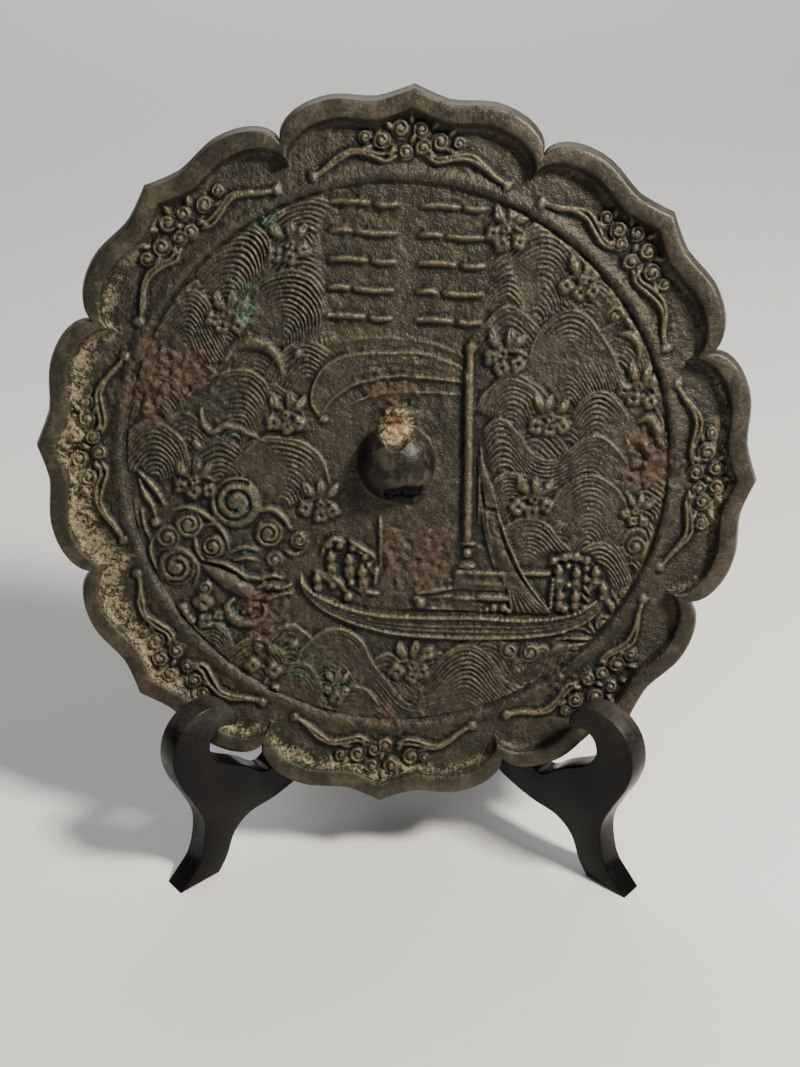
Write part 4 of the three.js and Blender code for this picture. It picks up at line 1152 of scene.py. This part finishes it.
def bronze():
    """Old cast bronze, dark olive in the hollows, paler where worn, patchy with corrosion; painted shade on
    the knob and its pit.
    """
    finish = Finish("patinated_bronze")
    broad, middling, fine, dust = finish.noise(22, 4), finish.noise(4.5, 4), finish.noise(1.0,
        3), finish.noise(0.42, 2)
    decorated, rim, knob = finish.layer("decorated"), finish.layer("rim"), finish.layer("knob")
    speckle = fine * 0.6 + dust * 0.4
    ground = broad.between(0.38, 0.62).blend((0.0205, 0.0178, 0.0110), (0.033, 0.0282, 0.0172))
    ground = (middling * 0.45 + speckle * 0.55).between(0.44, 0.62).blend(ground, (0.057, 0.0485, 0.0305))
    # dark patina in the hollows; in the pit under the knob the same dark is painted shade
    hollow = (finish.layer("hollow") + speckle * 0.5 - 0.25).between(0.02, 0.6)
    colour = hollow.blend(ground, (0.0075, 0.0064, 0.0043))
    worn = (finish.layer("wear") * (middling * 0.9 + 0.55) + speckle * 0.3 - 0.15).between(0.15, 0.85)
    colour = worn.blend(colour, (0.108, 0.092, 0.060))
    rubbed = (broad * 0.3 + middling * 0.4 + speckle * 0.3).between(0.43, 0.58)
    colour = rim.blend(colour, rubbed.blend((0.027, 0.023, 0.0145), (0.068, 0.0585, 0.0375)))
    cloudy = (middling * 0.8 + fine * 0.2).between(0.4, 0.62)
    # the knob's own cloudy olive, with painted shade darkening it towards its lower left
    colour = knob.blend(colour, (cloudy - finish.layer("knob_painted_shade")).blend((0.012, 0.010, 0.0075),
        (0.074, 0.064, 0.043)))
    spotty = (middling * 0.45 + speckle * 0.55).between(0.42, 0.58)
    red = (finish.layer("red") * (spotty * 0.85 + 0.3)).between(0.25, 0.85)
    colour = red.blend(colour, speckle.between(0.42, 0.6).blend((0.025, 0.0165, 0.0100),
        (0.068, 0.0365, 0.0195)))
    green = (finish.layer("green") * speckle.between(0.42, 0.62)).between(0.2, 0.7)
    colour = green.blend(colour, dust.between(0.4, 0.6).blend((0.020, 0.046, 0.026), (0.045, 0.112, 0.066)))
    earth = (finish.layer("earth") * (spotty * 1.05 + 0.3)).between(0.25, 1.0) * 0.9
    colour = earth.blend(colour, speckle.between(0.4, 0.62).blend((0.098, 0.080, 0.044),
        (0.235, 0.193, 0.112)))
    mouth = finish.layer("earth").between(1.1, 1.35)
    crumbs = (middling * 0.4 + speckle * 0.6).between(0.42, 0.58)
    colour = mouth.blend(colour, crumbs.blend((0.095, 0.048, 0.021), (0.33, 0.228, 0.115)))
    back = broad.between(0.3, 0.7).blend((0.046, 0.041, 0.029), (0.080, 0.070, 0.050))
    stains = (middling * 0.6 + speckle * 0.4).between(0.53, 0.63) * 0.7
    back = stains.blend(back, speckle.between(0.4, 0.6).blend((0.018, 0.020, 0.014), (0.034, 0.052, 0.036)))
    colour = decorated.blend(back, colour)
    cast_rough = decorated * 0.92 + 0.08 - rim * 0.62 - knob * 0.76
    rough = speckle * 0.3 + 0.24 + stains * 0.15 + decorated * 0.1
    rough = rough + red * 0.2 + green * 0.2 + earth * 0.3 - knob * 0.06
    metal = worn * 0.25 + 0.5 - red * 0.3 - green * 0.3 - earth * 0.6 + knob * 0.05
    specks = finish.noise(0.8, 1).between(0.62, 0.72) * 0.5
    grain = (fine * 0.6 + dust * 0.28 + specks * 0.35 + finish.noise(0.2, 1) * 0.06) * cast_rough
    finish.set(Base_Color=colour, Roughness=rough, Metallic=metal, Normal=finish.bump(grain, 1.0, 0.62))
    return finish.material


def lacquer():
    """Black lacquer on wood, duller on its rounded edges and with a painted grey sheen there."""
    finish = Finish("black_lacquer")
    cloudy, fine = finish.noise(14, 3), finish.noise(1.2, 3)
    # rubbed marks the rounded edges and hook tops: a painted grey sheen on them, and more roughness
    rubbed = (finish.layer("edge") * 0.9 + cloudy * 0.9 + fine * 0.4).between(1.0, 1.6)
    colour = cloudy.between(0.4, 0.7).blend((0.0025, 0.0022, 0.0022), (0.0045, 0.004, 0.004))
    colour = rubbed.blend(colour, (0.044, 0.038, 0.032))
    rough = cloudy.between(0.35, 0.7) * 0.12 + 0.24 + fine.between(0.4, 0.8) * 0.06 + rubbed * 0.2
    finish.set(Base_Color=colour, Roughness=rough, Specular_IOR_Level=0.13,
               Normal=finish.bump(cloudy * 0.6 + fine * 0.4, 0.25, 0.2))
    return finish.material


finishes = {"bronze": bronze(), "lacquer": lacquer()}
for piece in bpy.context.scene.objects:
    if piece.type == "MESH":
        kind = "bronze" if "mirror" in piece.name else "lacquer"
        piece.data.materials.clear()
        piece.data.materials.append(finishes[kind])
print("materials made")

# %% [markdown]
# ## Camera, floor and light
# The camera looks down at the mirror from the front. The floor is pale and the light is soft.

# %% Camera, floor and light
LENS = 43.86
EYE = (4.8, -279.0, 231.0)
LOOK_DOWN, LOOK_LEFT = 28.4, 0.8


def aim(thing, direction):
    thing.rotation_euler = Vector(direction).to_track_quat("-Z", "Y").to_euler()


camera = bpy.data.objects.new("camera", bpy.data.cameras.new("camera"))
bpy.context.scene.collection.objects.link(camera)
bpy.context.scene.camera = camera
camera.data.lens = LENS
camera.data.sensor_width = 36.0
camera.data.clip_start = 0.01
camera.location = Vector(EYE) * MM
down, left = math.radians(LOOK_DOWN), math.radians(LOOK_LEFT)
aim(camera, (-math.sin(left) * math.cos(down), math.cos(left) * math.cos(down), -math.sin(down)))


def area_light(name, place, target, size, power, colour):
    light = bpy.data.objects.new(name, bpy.data.lights.new(name, "AREA"))
    bpy.context.scene.collection.objects.link(light)
    light.data.shape = "SQUARE"
    light.data.size = size
    light.data.energy = power
    light.data.color = colour
    light.location = place
    aim(light, Vector(target) - Vector(place))


area_light("key", (0.48, -0.27, 0.71), (0, 0, 0.09), 0.14, 17.0, (1.0, 0.95, 0.86))
area_light("fill", (-0.9, -0.7, 0.6), (0, 0, 0.08), 1.0, 1.4, (0.93, 0.96, 1.0))
area_light("back", (0.0, 2.1, 1.7), (0, 1.7, 0), 2.4, 55.0, (1.0, 1.0, 1.0))

floor_tool = bmesh.new()
bmesh.ops.create_grid(floor_tool, x_segments=2, y_segments=2, size=12.0)
floor = new_piece("floor", floor_tool)
floor_finish = Finish("pale_floor")
floor_finish.set(Base_Color=(0.62, 0.61, 0.59, 1.0), Roughness=0.85)
floor.data.materials.append(floor_finish.material)

world = bpy.data.worlds.new("studio")
bpy.context.scene.world = world
world.use_nodes = True
world.node_tree.nodes["Background"].inputs["Color"].default_value = (0.75, 0.77, 0.80, 1.0)
world.node_tree.nodes["Background"].inputs["Strength"].default_value = 0.20
